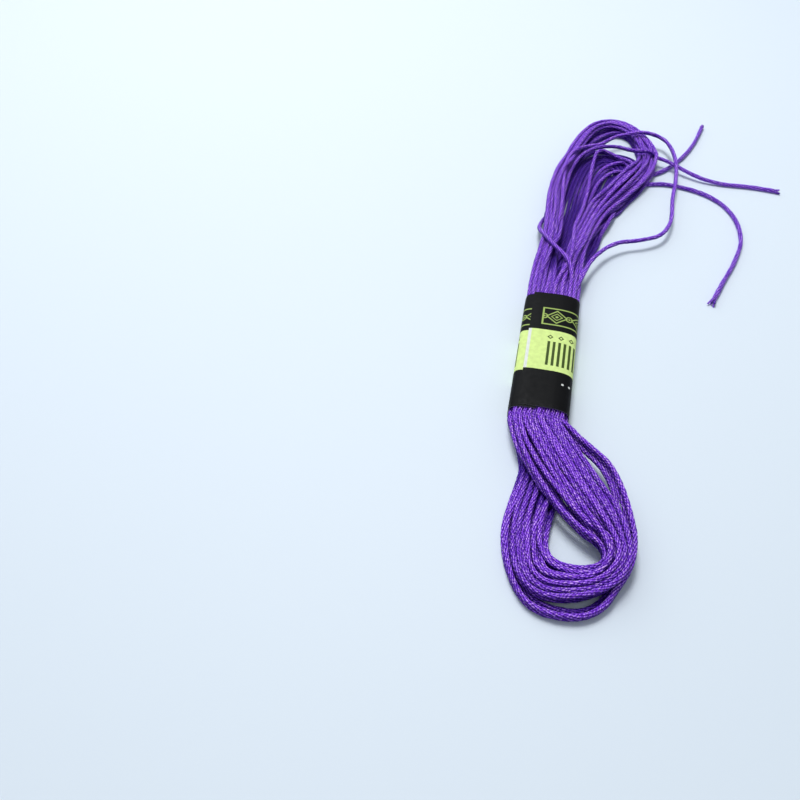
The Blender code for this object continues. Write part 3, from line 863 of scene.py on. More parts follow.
def make_object(name: str, patch: Patch, material: bpy.types.Material, attribute: str) -> bpy.types.Object:
    """Make a smooth mesh object from a patch.

    Args:
        name: the piece's name.
        patch: its vertices and faces, in millimetres.
        material: its material.
        attribute: the name under which the mesh keeps where each face corner is.

    Returns:
        The object, linked to the scene.
    """
    mesh = bpy.data.meshes.new(name)
    corners = np.concatenate((patch.quads.ravel(), patch.triangles.ravel()))
    triangle_starts = patch.quads.size + np.arange(len(patch.triangles)) * 3
    starts = np.concatenate((np.arange(len(patch.quads)) * 4, triangle_starts))
    runs = np.concatenate((patch.quad_run.ravel(), patch.triangle_run.ravel()))
    mesh.vertices.add(len(patch.vertices))
    mesh.vertices.foreach_set("co", (patch.vertices * MM).astype(np.float32).ravel())
    mesh.loops.add(len(corners))
    mesh.loops.foreach_set("vertex_index", corners.astype(np.int32))
    mesh.polygons.add(len(starts))
    mesh.polygons.foreach_set("loop_start", starts.astype(np.int32))
    mesh.polygons.foreach_set("use_smooth", np.ones(len(starts), bool))
    run = mesh.attributes.new(attribute, "FLOAT_VECTOR", "CORNER")
    run.data.foreach_set("vector", runs.astype(np.float32))
    mesh.materials.append(material)
    mesh.update(calc_edges=True)
    obj = bpy.data.objects.new(name, mesh)
    bpy.context.scene.collection.objects.link(obj)
    return obj


@dataclass
class Floss:
    """The shape of six-strand thread: six soft lobes that twist round each other.

    swell holds how much each strand's fullness varies and over what lengths, and lay_drift the
    lengths over which the twist varies and by how many turns. The tip fields shape the loose
    strands at a frayed cut: their unevenness, twist, spread, lengths and fewest rings.
    """

    radius: float = 0.60
    strands: int = 6
    facets: int = 4
    groove: float = 0.22
    lay: float = 12.0
    ring_step: float = 0.72
    flat: float = 0.05
    flat_turn: tuple[float, float] = (23, 41)
    swell: tuple[tuple[float, tuple[float, float]], ...] = ((0.045, (9, 17)), (0.03, (4, 7)))
    lay_drift: tuple[tuple[float, float], ...] = ((37.0, 0.16), (13.0, 0.07))
    flare_length: float = 14.0
    tip_uneven: float = 0.08
    tip_twist: float = 1.1
    tip_spread: tuple[float, float] = (0.5, 1.0)
    tip_lengths: tuple[float, float] = (0.78, 1.0)
    tip_rings: int = 6

    def frames(self, path: np.ndarray) -> tuple[np.ndarray, np.ndarray]:
        """Return two steady sideways directions along a path.

        Args:
            path: ring centres.

        Returns:
            The normals and binormals, square to the path and to each other.
        """
        tangent = np.gradient(path, axis=0)
        tangent /= np.linalg.norm(tangent, axis=1)[:, None]
        normals = np.empty_like(path)
        normal = np.cross(tangent[0], UP)
        normal /= np.linalg.norm(normal)
        for k, t in enumerate(tangent):
            normal = normal - t * (normal @ t)
            normal /= np.sqrt(normal @ normal)
            normals[k] = normal
        return normals, np.cross(tangent, normals)

    def fullness(self, place: np.ndarray, angle: np.ndarray, rng: np.random.Generator) -> np.ndarray:
        """Return how full each strand is along the thread, and how the whole is pressed flat.

        Args:
            place: the rings' distances along the thread.
            angle: each vertex's angle round the thread.
            rng: the source of the unevenness.

        Returns:
            A factor on the radius for each vertex of each ring.
        """
        full = np.ones_like(angle)
        for strand in range(self.strands):
            own = np.zeros_like(place)
            for share, lengths in self.swell:
                own += share * wave(place, rng.uniform(*lengths), rng)
            full[:, strand * self.facets : (strand + 1) * self.facets] += own[:, None]
        full = (full + np.roll(full, 1, axis=1)) / 2
        lean = 2 * pi * (place / rng.uniform(*self.flat_turn) + rng.random())
        return full * (1 + self.flat * np.cos(2 * (angle - lean[:, None])))

    def faces(self, place: np.ndarray, own: float) -> tuple[np.ndarray, np.ndarray, np.ndarray, np.ndarray]:
        """Return the faces between rings and over both ends, with where each corner is.

        A corner's run is its place round the thread in strands, its distance along it, and a
        number of the thread's own.

        Args:
            place: the rings' distances along the thread.
            own: the thread's own number.

        Returns:
            The quads, their runs, the end triangles and their runs.
        """
        sides, rings = self.strands * self.facets, len(place)
        column = np.arange(sides)
        k = np.arange(rings - 1)[:, None] * sides
        here, after = k + column, k + (column + 1) % sides
        quads = np.stack((here, after, after + sides, here + sides), axis=-1).reshape(-1, 4)
        start, stop = column / self.facets, column / self.facets + 1 / self.facets
        u = np.broadcast_to(np.stack((start, stop, stop, start), axis=-1), (rings - 1, sides, 4))
        v0, v1 = place[:-1, None], place[1:, None]
        v = np.broadcast_to(np.stack((v0, v0, v1, v1), axis=-1), (rings - 1, sides, 4))
        run = np.stack((u, v, np.full_like(v, own)), axis=-1).reshape(-1, 3)
        last, tip = (rings - 1) * sides, np.full(sides, rings * sides)
        first_cap = np.column_stack((np.roll(column, -1), column, tip))
        last_cap = np.column_stack((last + column, last + np.roll(column, -1), tip + 1))
        caps = np.vstack((first_cap, last_cap))
        return quads, run, caps, np.tile((0.5, 0.0, own), (len(caps) * 3, 1))

    def sweep(self, path: np.ndarray, rng: np.random.Generator, flare: float = 0.0) -> Patch:
        """Return the thread's surface along a path, closed at both ends.

        Args:
            path: ring centres.
            rng: the source of its unevenness.
            flare: how much thicker the thread gets towards its last end, as a share.

        Returns:
            The patch.
        """
        place = along(path)
        normal, binormal = self.frames(path)
        column = np.arange(self.strands * self.facets)
        across = (column % self.facets) / self.facets * 2 - 1
        phase = rng.random()
        turn = place / self.lay
        for length, share in self.lay_drift:
            turn += share * wave(place, length, rng)
        angle = 2 * pi * (column / len(column) + phase + turn[:, None])
        full = self.fullness(place, angle, rng)
        thick = 1 + flare * ease((place - place[-1] + self.flare_length) / self.flare_length)
        radius = self.radius * thick[:, None] * full * (1 - self.groove * across**2)
        sideways = (radius * np.cos(angle))[..., None] * normal[:, None]
        ring = path[:, None] + sideways + (radius * np.sin(angle))[..., None] * binormal[:, None]
        quads, run, caps, cap_run = self.faces(place, rng.random())
        return Patch(np.vstack((ring.reshape(-1, 3), path[:1], path[-1:])), quads, run, caps, cap_run)

    def frayed_tip(self, path: np.ndarray, rng: np.random.Generator, splay: float) -> Patch:
        """Return six loose strands that leave the thread where its twist ends.

        Args:
            path: ring centres of the last few millimetres.
            rng: the source of each strand's bend and length.
            splay: how far apart the strands come at the cut, in millimetres.

        Returns:
            The patch.
        """
        normal, binormal = self.frames(path)
        place = along(path) / along(path)[-1]
        patches = []
        for strand in range(self.strands):
            start = strand / self.strands + self.tip_uneven * rng.random()
            angle = 2 * pi * start + self.tip_twist * place
            reach = STRAND_CENTRE + splay * rng.uniform(*self.tip_spread) * place**2
            centre = path + (reach * np.cos(angle))[:, None] * normal
            centre = centre + (reach * np.sin(angle))[:, None] * binormal
            centre[:, 2] = np.maximum(centre[:, 2], LOOSE_STRAND.radius)
            keep = max(self.tip_rings, int(len(centre) * rng.uniform(*self.tip_lengths)))
            patches.append(LOOSE_STRAND.sweep(centre[:keep], rng))
        return join(patches)


# A loose strand, and how far its middle lies from the whole thread's.
STRAND_CENTRE = 0.34
LOOSE_STRAND = Floss(radius=0.23, strands=3, facets=2, groove=0.08, lay=1.4, ring_step=0.3)


# --------------------------------------------------------------------------- shader helpers


def feed(socket: bpy.types.NodeSocket, value: object) -> None:
    """Link a value into a socket, or set the socket's constant."""
    if isinstance(value, Value):
        value.tree.links.new(value.socket, socket)
    else:
        socket.default_value = value


@dataclass(frozen=True)
class Value:
    """A number, vector or colour that changes over a surface, with the sums that shaders need."""

    tree: bpy.types.NodeTree
    socket: bpy.types.NodeSocket

    def math(self, operation: str, *others: object, clamp: bool = False) -> "Value":
        """Return this value and others put through a Math node.

        Args:
            operation: the node's operation.
            *others: its further inputs, values or numbers.
            clamp: whether the result stays between 0 and 1.

        Returns:
            The node's output.
        """
        node = self.tree.nodes.new("ShaderNodeMath")
        node.operation, node.use_clamp = operation, clamp
        for socket, value in zip(node.inputs, (self, *others)):
            feed(socket, value)
        return Value(self.tree, node.outputs[0])

    def __add__(self, other: object) -> "Value":
        """Return the sum."""
        return self.math("ADD", other)

    def __sub__(self, other: object) -> "Value":
        """Return the difference."""
        return self.math("SUBTRACT", other)

    def __mul__(self, other: object) -> "Value":
        """Return the product."""
        return self.math("MULTIPLY", other)

    def __truediv__(self, other: object) -> "Value":
        """Return the quotient."""
        return self.math("DIVIDE", other)

    def __pow__(self, power: float) -> "Value":
        """Return this value raised to a power."""
        return self.math("POWER", power)

    def __abs__(self) -> "Value":
        """Return the size of this value."""
        return self.math("ABSOLUTE")

    def span(self, low: float, high: float, to_low: float = 0.0, to_high: float = 1.0) -> "Value":
        """Map this value from one range to another, smoothly and clamped.

        Args:
            low: the value that becomes to_low.
            high: the value that becomes to_high.
            to_low: the result at low.
            to_high: the result at high.

        Returns:
            The mapped value.
        """
        node = self.tree.nodes.new("ShaderNodeMapRange")
        node.interpolation_type = "SMOOTHSTEP"
        for socket, value in zip(node.inputs, (self, low, high, to_low, to_high)):
            feed(socket, value)
        return Value(self.tree, node.outputs[0])

    def inside(self, low: float, high: float, soft: float = 0.07) -> "Value":
        """Return 1 where this value lies between low and high, with edges this soft."""
        return self.span(low - soft, low + soft) * self.span(high - soft, high + soft, 1.0, 0.0)

    def below(self, high: float) -> "Value":
        """Return 1 where this value, which is never negative, lies below high."""
        return self.inside(-1.0, high)

    def from_motif(self, start: float, pitch: float) -> "Value":
        """Return the signed distance to the middle of the nearest of evenly spaced motifs."""
        return (((self - start) / pitch).math("FRACT") - 0.5) * pitch


def distance(side: Value, up: Value) -> Value:
    """Return the distance that two square offsets make."""
    return (side * side + up * up).math("SQRT")


def all_of(*masks: Value) -> Value:
    """Return the mask of where every mask is."""
    return reduce(lambda a, b: a * b, masks)


def any_of(*masks: Value) -> Value:
    """Return the mask of where any mask is."""
    return reduce(lambda a, b: a.math("MAXIMUM", b), masks)


def set_inputs(node: bpy.types.Node, values: dict[str, object]) -> None:
    """Link or set a node's own sockets by name."""
    for key, value in values.items():
        feed(node.inputs[key], value)


# A Mix node's factor and its two colours, among all its inputs, and its colour output.
MIX_INPUTS = (0, 6, 7)
MIX_OUTPUT = 2


@dataclass
class Graph:
    """Short calls that add nodes to one node tree."""

    tree: bpy.types.NodeTree

    def add(self, kind: str, **settings: object) -> bpy.types.Node:
        """Add a node.

        Args:
            kind: the node's type.
            **settings: its properties.

        Returns:
            The node.
        """
        node = self.tree.nodes.new(kind)
        for key, value in settings.items():
            setattr(node, key, value)
        return node

    def mix(self, factor: object, a: object, b: object, blend: str = "MIX") -> Value:
        """Mix two colours.

        Args:
            factor: the share of the second colour.
            a: the first colour.
            b: the second colour.
            blend: how they mix.

        Returns:
            The mixed colour.
        """
        node = self.add("ShaderNodeMix", data_type="RGBA", blend_type=blend)
        for index, value in zip(MIX_INPUTS, (factor, a, b)):
            feed(node.inputs[index], value)
        return Value(self.tree, node.outputs[MIX_OUTPUT])

    def noise(self, vector: Value, scale: float, detail: float) -> Value:
        """Add a noise texture.

        Args:
            vector: where it is read.
            scale: how many lumps there are in a millimetre.
            detail: how many finer layers it has.

        Returns:
            Its value, about 0.5 on average.
        """
        node = self.add("ShaderNodeTexNoise")
        set_inputs(node, {"Vector": vector, "Scale": scale, "Detail": detail})
        return Value(self.tree, node.outputs["Fac"])

    def attribute(self, name: str) -> tuple[Value, Value, Value]:
        """Read a mesh attribute.

        Args:
            name: the attribute.

        Returns:
            Its three parts, which are all the same for a single number.
        """
        node = self.add("ShaderNodeAttribute", attribute_name=name)
        parts = self.add("ShaderNodeSeparateXYZ")
        feed(parts.inputs[0], Value(self.tree, node.outputs["Vector"]))
        return tuple(Value(self.tree, socket) for socket in parts.outputs)

    def vector(self, x: object, y: object, z: object) -> Value:
        """Combine three numbers into a vector.

        Args:
            x: the first.
            y: the second.
            z: the third.

        Returns:
            The vector.
        """
        node = self.add("ShaderNodeCombineXYZ")
        for socket, value in zip(node.inputs, (x, y, z)):
            feed(socket, value)
        return Value(self.tree, node.outputs[0])

    def group(self, tree: bpy.types.NodeTree, values: dict[str, float]) -> dict[str, Value]:
        """Place a node group.

        Args:
            tree: the group.
            values: its inputs by name.

        Returns:
            Its outputs by name.
        """
        node = self.add("ShaderNodeGroup", node_tree=tree)
        set_inputs(node, values)
        return {socket.name: Value(self.tree, socket) for socket in node.outputs}

    def bump(self, height: Value, depth: float) -> Value:
        """Give a surface relief.

        Args:
            height: the relief's height, from about 0 to 1.
            depth: its full depth in metres.

        Returns:
            The surface's normal.
        """
        node = self.add("ShaderNodeBump")
        set_inputs(node, {"Strength": 1.0, "Distance": depth, "Height": height})
        return Value(self.tree, node.outputs["Normal"])


@dataclass(frozen=True)
class SpunStrand:
    """The node group for spun cotton: plies that wind round each strand, and the fibres in them.

    Its inputs are the plies' pitch in millimetres and the fibres' depth. Its outputs are the
    height, the crest of each strand and ply, light and dark flecks, and each thread's own number.
    The cotton paints shade in the grooves and glints on the crests from the crest, and places the
    glints with the flecks.
    The shifts set strands and threads apart, so that no two show the same pattern. The noises
    hold lumps in a millimetre and finer layers.
    """

    ply_lean: float = 0.8
    ply_drift: float = 3.0
    drift_noise: tuple[float, float] = (0.45, 2.0)
    strand_shift: float = 0.37
    drift_shifts: tuple[float, float] = (3.7, 71.0)
    fibre_shift: float = 53.0
    fleck_shift: float = 31.0
    ply_share: float = 0.6
    fibre_noise: tuple[float, float] = (1.6, 3.0)
    fleck_noise: tuple[float, float] = (1.0, 2.0)
    fibre_lean: tuple[float, float, float] = (6.0, 3.2, 0.7)
    fleck_lean: tuple[float, float, float] = (1.3, 2.7, 1.6)

    def build(self) -> bpy.types.NodeTree:
        """Build the group.

        Returns:
            Its node tree.
        """
        tree = bpy.data.node_groups.new("spun_strand", "ShaderNodeTree")
        for name in ("Ply Pitch", "Fibre Depth"):
            tree.interface.new_socket(name, in_out="INPUT", socket_type="NodeSocketFloat")
        for name in ("Height", "Crest", "Fleck", "Own"):
            tree.interface.new_socket(name, in_out="OUTPUT", socket_type="NodeSocketFloat")
        graph = Graph(tree)
        pitch, depth = (Value(tree, socket) for socket in graph.add("NodeGroupInput").outputs[:2])
        u, v, own = graph.attribute("thread_run")
        within, strand = u.math("FRACT"), u.math("FLOOR")
        strand_apart, own_apart = self.drift_shifts
        where = graph.vector(strand * strand_apart, v, own * own_apart)
        uneven = graph.noise(where, *self.drift_noise)
        phase = v / pitch + within * self.ply_lean + (uneven * self.ply_drift + strand * self.strand_shift)
        ply = abs((phase * pi).math("SINE"))
        skew, stretch, run = self.fibre_lean
        lean = graph.vector(u * skew + v * stretch, v * run, own * self.fibre_shift)
        fibre = graph.noise(lean, *self.fibre_noise)
        wide, dash, slant = self.fleck_lean
        streak = graph.vector(u * wide, v * dash + within * slant, own * self.fleck_shift)
        fleck = graph.noise(streak, *self.fleck_noise)
        crest = (within * pi).math("SINE") * (ply * self.ply_share + (1.0 - self.ply_share))
        out = graph.add("NodeGroupOutput")
        set_inputs(out, {"Height": ply + fibre * depth, "Crest": crest, "Fleck": fleck, "Own": own})
        return tree


def new_material(name: str) -> tuple[Graph, bpy.types.Material, bpy.types.Node]:
    """Start a material.

    Args:
        name: the material's name.

    Returns:
        Its graph, itself and its Principled shader.
    """
    material = bpy.data.materials.new(name)
    material.use_nodes = True
    return Graph(material.node_tree), material, material.node_tree.nodes["Principled BSDF"]


@dataclass(frozen=True)
class CottonFinish:
    """Mercerised violet cotton with a silky sheen, painted shade in its grooves and on deep-lying threads,
    and painted glints on its crests.
    """

    # deep is painted shade in the grooves between strands and plies, and also the colour of random dark
    # flecks.
    deep: Colour = (0.045, 0.003, 0.250, 1.0)
    body: Colour = (0.320, 0.082, 1.000, 1.0)
    # light is the colour of painted glints on the strands' crests.
    light: Colour = (0.740, 0.440, 1.000, 1.0)
    # The tint of the painted shade on threads that lie deep among others and on each thread's lower side.
    painted_shade_tint: Colour = (0.220, 0.150, 0.400, 1.0)
    gloss: Colour = (0.550, 0.300, 1.000, 1.0)
    sheen_tint: Colour = (0.450, 0.240, 1.000, 1.0)
    roughness: float = 0.40
    specular: float = 0.26
    sheen: float = 0.22
    sheen_roughness: float = 0.35
    ply_pitch: float = 0.80
    fibre_depth: float = 0.45
    relief: float = 0.00015
    groove_shade_span: tuple[float, float] = (0.06, 0.62)
    dark_fleck: tuple[float, float] = (0.50, 0.36)
    dark_share: float = 0.60
    glint_crest: tuple[float, float] = (0.25, 0.85)
    glint_fleck: tuple[float, float] = (0.45, 0.64)
    thread_tone: tuple[float, float] = (0.82, 1.1)
    tone_shift: float = 7.3
    blue_power: float = 0.7

    def material(self, strands: bpy.types.NodeTree) -> bpy.types.Material:
        """Make the thread's material.

        Args:
            strands: the spun strand group.

        Returns:
            The material.
        """
        graph, material, shader = new_material("violet_cotton")
        spun = graph.group(strands, {"Ply Pitch": self.ply_pitch, "Fibre Depth": self.fibre_depth})
        crest, fleck = spun["Crest"], spun["Fleck"]
        # Painted shade: the grooves between strands and plies are darker than their crests.
        colour = graph.mix(crest.span(*self.groove_shade_span), self.deep, self.body)
        colour = graph.mix(fleck.span(*self.dark_fleck, 0.0, self.dark_share), colour, self.deep)
        # Painted glints: where the flecks peak on a crest, the colour is lit towards the light colour.
        painted_glint = crest.span(*self.glint_crest) * fleck.span(*self.glint_fleck)
        colour = graph.mix(painted_glint, colour, self.light)
        tone = (spun["Own"] * self.tone_shift).math("FRACT").span(0.0, 1.0, *self.thread_tone)
        colour = graph.mix(1.0, colour, graph.vector(tone, tone, tone**self.blue_power), "MULTIPLY")
        # Painted shade: deep-lying threads and each thread's lower side are darkened by the shade tint, as
        # far as the depth attribute says.
        painted_shade = graph.mix(1.0, colour, self.painted_shade_tint, "MULTIPLY")
        values = {
            "Base Color": graph.mix(graph.attribute("painted_shade_depth")[0], colour, painted_shade),
            "Normal": graph.bump(spun["Height"], self.relief),
            "Roughness": self.roughness,
            "Specular IOR Level": self.specular,
            "Specular Tint": self.gloss,
            "Sheen Weight": self.sheen,
            "Sheen Roughness": self.sheen_roughness,
            "Sheen Tint": self.sheen_tint,
        }
        set_inputs(shader, values)
        return material


# --------------------------------------------------------------------------- paper band


@dataclass(frozen=True)
class Border:
    """The band's fine-line border: a double frame round nested lozenges and rings."""

    rows: tuple[float, float] = (7.3, 13.4)
    span: tuple[float, float] = (2.8, 37.4)
    line_y: float = 0.38
    line_s: float = 0.42
    first: float = 0.5
    pitch: float = 6.2
    slant: float = 0.86
    outer_lozenge: tuple[float, float] = (1.95, 2.35)
    inner_lozenge: tuple[float, float] = (1.0, 1.3)
    lozenge_heart: float = 0.42
    ring: tuple[float, float] = (0.62, 0.92)
    ring_heart: float = 0.26

    def mask(self, s: Value, y: Value) -> Value:
        """Draw the border.

        Args:
            s: the distance round the band from its lapped edge.
            y: the distance along the skein.

        Returns:
            The mask of its lines.
        """
        (low, high), (start, stop) = self.rows, self.span
        outer = all_of(y.inside(low, high), s.inside(start, stop))
        field_y = y.inside(low + self.line_y, high - self.line_y)
        gap = all_of(field_y, s.inside(start + self.line_s, stop - self.line_s))
        up = abs(y - (low + high) / 2)
        side = abs(s.from_motif(start + self.first, self.pitch))
        lozenge = up + side * self.slant
        away = distance(side - self.pitch / 2, up)
        motifs = any_of(
            lozenge.inside(*self.outer_lozenge),
            lozenge.inside(*self.inner_lozenge),
            lozenge.below(self.lozenge_heart),
            away.inside(*self.ring),
            away.below(self.ring_heart),
        )
        return any_of(outer.math("SUBTRACT", gap, clamp=True), all_of(gap, motifs))


@dataclass(frozen=True)
class Stripes:
    """The lime panel's plain stripes, with a row of small lozenges above them."""

    span: tuple[float, float] = (4.5, 34.0)
    rows: tuple[float, float] = (-6.2, 1.7)
    first: float = 4.55
    pitch: float = 1.30
    half_width: float = 0.33
    lozenge_y: float = 3.2
    lozenge_first: float = 4.1
    lozenge: tuple[float, float] = (0.34, 0.74)

    def mask(self, s: Value, y: Value) -> Value:
        """Draw the stripes and the lozenges.

        Args:
            s: the distance round the band from its lapped edge.
            y: the distance along the skein.

        Returns:
            Their mask.
        """
        printed = s.inside(*self.span)
        stripe = abs(s.from_motif(self.first, self.pitch)).below(self.half_width)
        across = abs(s.from_motif(self.lozenge_first, 2 * self.pitch))
        small = (abs(y - self.lozenge_y) + across).inside(*self.lozenge)
        return any_of(all_of(printed, stripe, y.inside(*self.rows)), all_of(printed, small))


@dataclass(frozen=True)
class Dots:
    """A few small white dots near the band's front edge."""

    span: tuple[float, float] = (8.7, 15.6)
    y: float = -11.4
    first: float = 8.6
    pitch: float = 1.75
    radius: float = 0.30

    def mask(self, s: Value, y: Value) -> Value:
        """Return where the dots are, from the place round the band and along it."""
        away = distance(s.from_motif(self.first, self.pitch), y - self.y)
        return all_of(s.inside(*self.span), away.below(self.radius))


@dataclass(frozen=True)
class PaperFinish:
    """Coated paper printed black and lime, with plain ornament.

    panel is where the lime lies along the skein and margin the white strip at its lapped edge.
    The noises hold lumps in a millimetre and finer layers.
    """

    ink: Colour = (0.0036, 0.0038, 0.0044, 1.0)
    lime: Colour = (0.655, 0.815, 0.280, 1.0)
    line: Colour = (0.360, 0.480, 0.130, 1.0)
    stock: Colour = (0.160, 0.165, 0.155, 1.0)
    bars: Colour = (0.055, 0.085, 0.020, 1.0)
    white: Colour = (0.720, 0.740, 0.700, 1.0)
    roughness: tuple[float, float] = (0.45, 0.58)
    specular: float = 0.08
    panel: tuple[float, float] = (-7.8, 5.5)
    margin: float = 0.75
    mottle: tuple[float, float] = (0.3, 0.7)
    mottle_tone: tuple[float, float] = (0.93, 1.05)
    mottle_noise: tuple[float, float] = (0.8, 4.0)
    grain_noise: tuple[float, float] = (9.0, 3.0)
    grain_relief: float = 0.000012

    def material(self) -> bpy.types.Material:
        """Make the printed paper.

        Returns:
            The material.
        """
        graph, material, shader = new_material("printed_paper")
        s, y, worn = graph.attribute("paper_place")
        panel = y.inside(*self.panel)
        colour = graph.mix(panel, self.ink, self.lime)
        colour = graph.mix(all_of(panel, s.below(self.margin)), colour, self.white)
        colour = graph.mix(Border().mask(s, y), colour, self.line)
        colour = graph.mix(all_of(panel, Stripes().mask(s, y)), colour, self.bars)
        colour = graph.mix(Dots().mask(s, y), colour, self.white)
        colour = graph.mix(worn, colour, self.stock)
        where = graph.vector(s, y, 0.0)
        mottle = graph.noise(where, *self.mottle_noise)
        tone = mottle.span(*self.mottle, *self.mottle_tone)
        values = {
            "Base Color": graph.mix(1.0, colour, graph.vector(tone, tone, tone), "MULTIPLY"),
            "Normal": graph.bump(graph.noise(where, *self.grain_noise), self.grain_relief),
            "Roughness": mottle.span(*self.mottle, *self.roughness),
            "Specular IOR Level": self.specular,
        }
        set_inputs(shader, values)
        return material


@dataclass
class PaperBand:
    """A strip of paper wrapped round the skein, its end glued where it laps on top.

    crown_power and base_power shape the oval above and below. ripples hold the pitch and height of
    the paper's creases round the band.
    """

    length: float = 38.0
    width: float = 14.1
    height: float = 6.78
    crown_power: float = 3.2
    base_power: float = 5.5
    paper: float = 0.14
    lap_x: float = -4.95
    tail: float = 4.2
    tuck_length: float = 2.4
    tuck_gap: float = 0.10
    outline_points: int = 360
    step: float = 0.36
    rows: int = 58
    skew: float = -0.54
    ripples: tuple[tuple[float, float], ...] = ((1.17, 0.009), (2.9, 0.013), (7.3, 0.035))
    ripple_drift: float = 0.35
    drift_lengths: tuple[float, float] = (50, 90)
    ripple_inside: float = 0.45
    edge_from: float = 0.86
    edge_drop: float = 0.16
    inset: float = 0.05
    clear: float = 0.01
    crease_angle: float = 50.0
    seed: int = 5

    def outline(self) -> tuple[np.ndarray, np.ndarray]:
        """Draw the oval that the paper follows, from its lapped end round to the tucked one.

        Returns:
            The strip's centreline as x and z, and its outward directions.
        """
        half_w, half_h, mid = self.width / 2 - self.paper, self.height / 2 - self.paper, self.height / 2
        angles = np.linspace(pi / 2, -3 * pi / 2, self.outline_points + 1)[:-1]
        c, d = np.cos(angles), np.sin(angles)
        power = 2 / np.where(d > 0, self.crown_power, self.base_power)
        x, z = half_w * np.sign(c) * np.abs(c) ** power, mid + half_h * np.sign(d) * np.abs(d) ** power
        start = np.argmin(np.where(z > mid, np.abs(x - self.lap_x), np.inf))
        ring = np.roll(np.column_stack((x, z)), -start, axis=0)
        tail = ring[: np.argmax(ring[:, 0] > self.lap_x + self.tail)]
        line = evenly(np.vstack((ring, tail)), self.step)
        forward = np.gradient(line, axis=0)
        forward /= np.linalg.norm(forward, axis=1)[:, None]
        return line, np.column_stack((-forward[:, 1], forward[:, 0]))

    def lift(self, run: np.ndarray, y: np.ndarray, rng: np.random.Generator) -> np.ndarray:
        """Return how far the paper stands off its outline: creases, curled edges and the tucked end.

        Args:
            run: distances round the band.
            y: distances along the skein.
            rng: the source of the creases' places.

        Returns:
            The distance outward, a row for each y.
        """
        edge = np.abs(y)[:, None] / (self.length / 2) - self.edge_from
        edge = np.clip(edge / (1.0 - self.edge_from), 0.0, 1.0) ** 2
        ripple = np.zeros((len(y), len(run)))
        for pitch, strength in self.ripples:
            drift = self.ripple_drift * wave(y, rng.uniform(*self.drift_lengths), rng)
            ripple += strength * np.cos(2 * pi * ((run[None] + drift[:, None]) / pitch + rng.random()))
        tucked = ease((run - (run[-1] - self.tail - self.tuck_length)) / self.tuck_length)
        lift = ripple * (self.ripple_inside + (1.0 - self.ripple_inside) * edge) - self.inset
        lift = lift - tucked[None] * (self.paper + self.tuck_gap)
        return lift - self.edge_drop * edge * (0.5 + 0.5 * np.cos(2 * pi * run / run[-1]))[None]

    def build(self, material: bpy.types.Material) -> bpy.types.Object:
        """Build the band.

        Args:
            material: the printed paper.

        Returns:
            The band's object.
        """
        line, outward = self.outline()
        run = along(line)
        y = np.linspace(-1.0, 1.0, self.rows + 1) * self.length / 2
        lift = self.lift(run, y, np.random.default_rng(self.seed))
        centre = np.empty((len(y), len(run), 3))
        centre[..., 0] = line[None, :, 0] + outward[None, :, 0] * lift
        centre[..., 1] = y[:, None] + self.skew * (run / run[-1])[None]
        centre[..., 2] = line[None, :, 1] + outward[None, :, 1] * lift
        direction = np.zeros_like(centre)
        direction[..., 0], direction[..., 2] = outward[None, :, 0], outward[None, :, 1]
        outer = centre + direction * self.paper / 2
        inner = centre - direction * self.paper / 2
        outer[..., 2] = np.maximum(outer[..., 2], self.clear)
        inner[..., 2] = np.maximum(inner[..., 2], self.clear + self.paper / 2)
        vertices = np.vstack((outer.reshape(-1, 3), inner.reshape(-1, 3)))
        quads, shown = self.faces(*outer.shape[:2])
        grid_s, grid_y = np.meshgrid(run, y)
        place = np.stack((grid_s, grid_y, np.zeros_like(grid_s)), -1).reshape(-1, 3)
        corner = np.vstack((place, place))[quads.ravel()]
        corner[shown:, 2] = 1.0
        obj = make_object("paper_band_strip", Patch(vertices, quads, corner), material, "paper_place")
        obj.data.set_sharp_from_angle(angle=radians(self.crease_angle))
        return obj

    def faces(self, rows: int, count: int) -> tuple[np.ndarray, int]:
        """Return the faces of the strip's two sides and its four cut edges.

        Args:
            rows: rows of vertices along the skein.
            count: vertices in a row.

        Returns:
            The quads, and how many face corners belong to the printed side, which comes first.
        """
        index = np.arange(rows * count).reshape(rows, count)
        under = index + rows * count
        sides = [
            np.stack((grid[:-1, :-1], grid[1:, :-1], grid[1:, 1:], grid[:-1, 1:]), -1).reshape(-1, 4)
            for grid in (index, under)
        ]
        edges = (
            (index[0], under[0]),
            (under[-1], index[-1]),
            (under[:, 0], index[:, 0]),
            (index[:, -1], under[:, -1]),
        )
        rims = [np.stack((a[:-1], a[1:], b[1:], b[:-1]), -1)[:, ::-1] for a, b in edges]
        return np.vstack((sides[0][:, ::-1], sides[1], *rims)), sides[0].size


# --------------------------------------------------------------------------- assembly


def declare(piece: bpy.types.Object, node: str) -> None:
    """Let a piece ride on the part's one body, in place of a node.

    Args:
        piece: the piece.
        node: the node that it replaces.
    """
    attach(piece, "root")
    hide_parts(node)


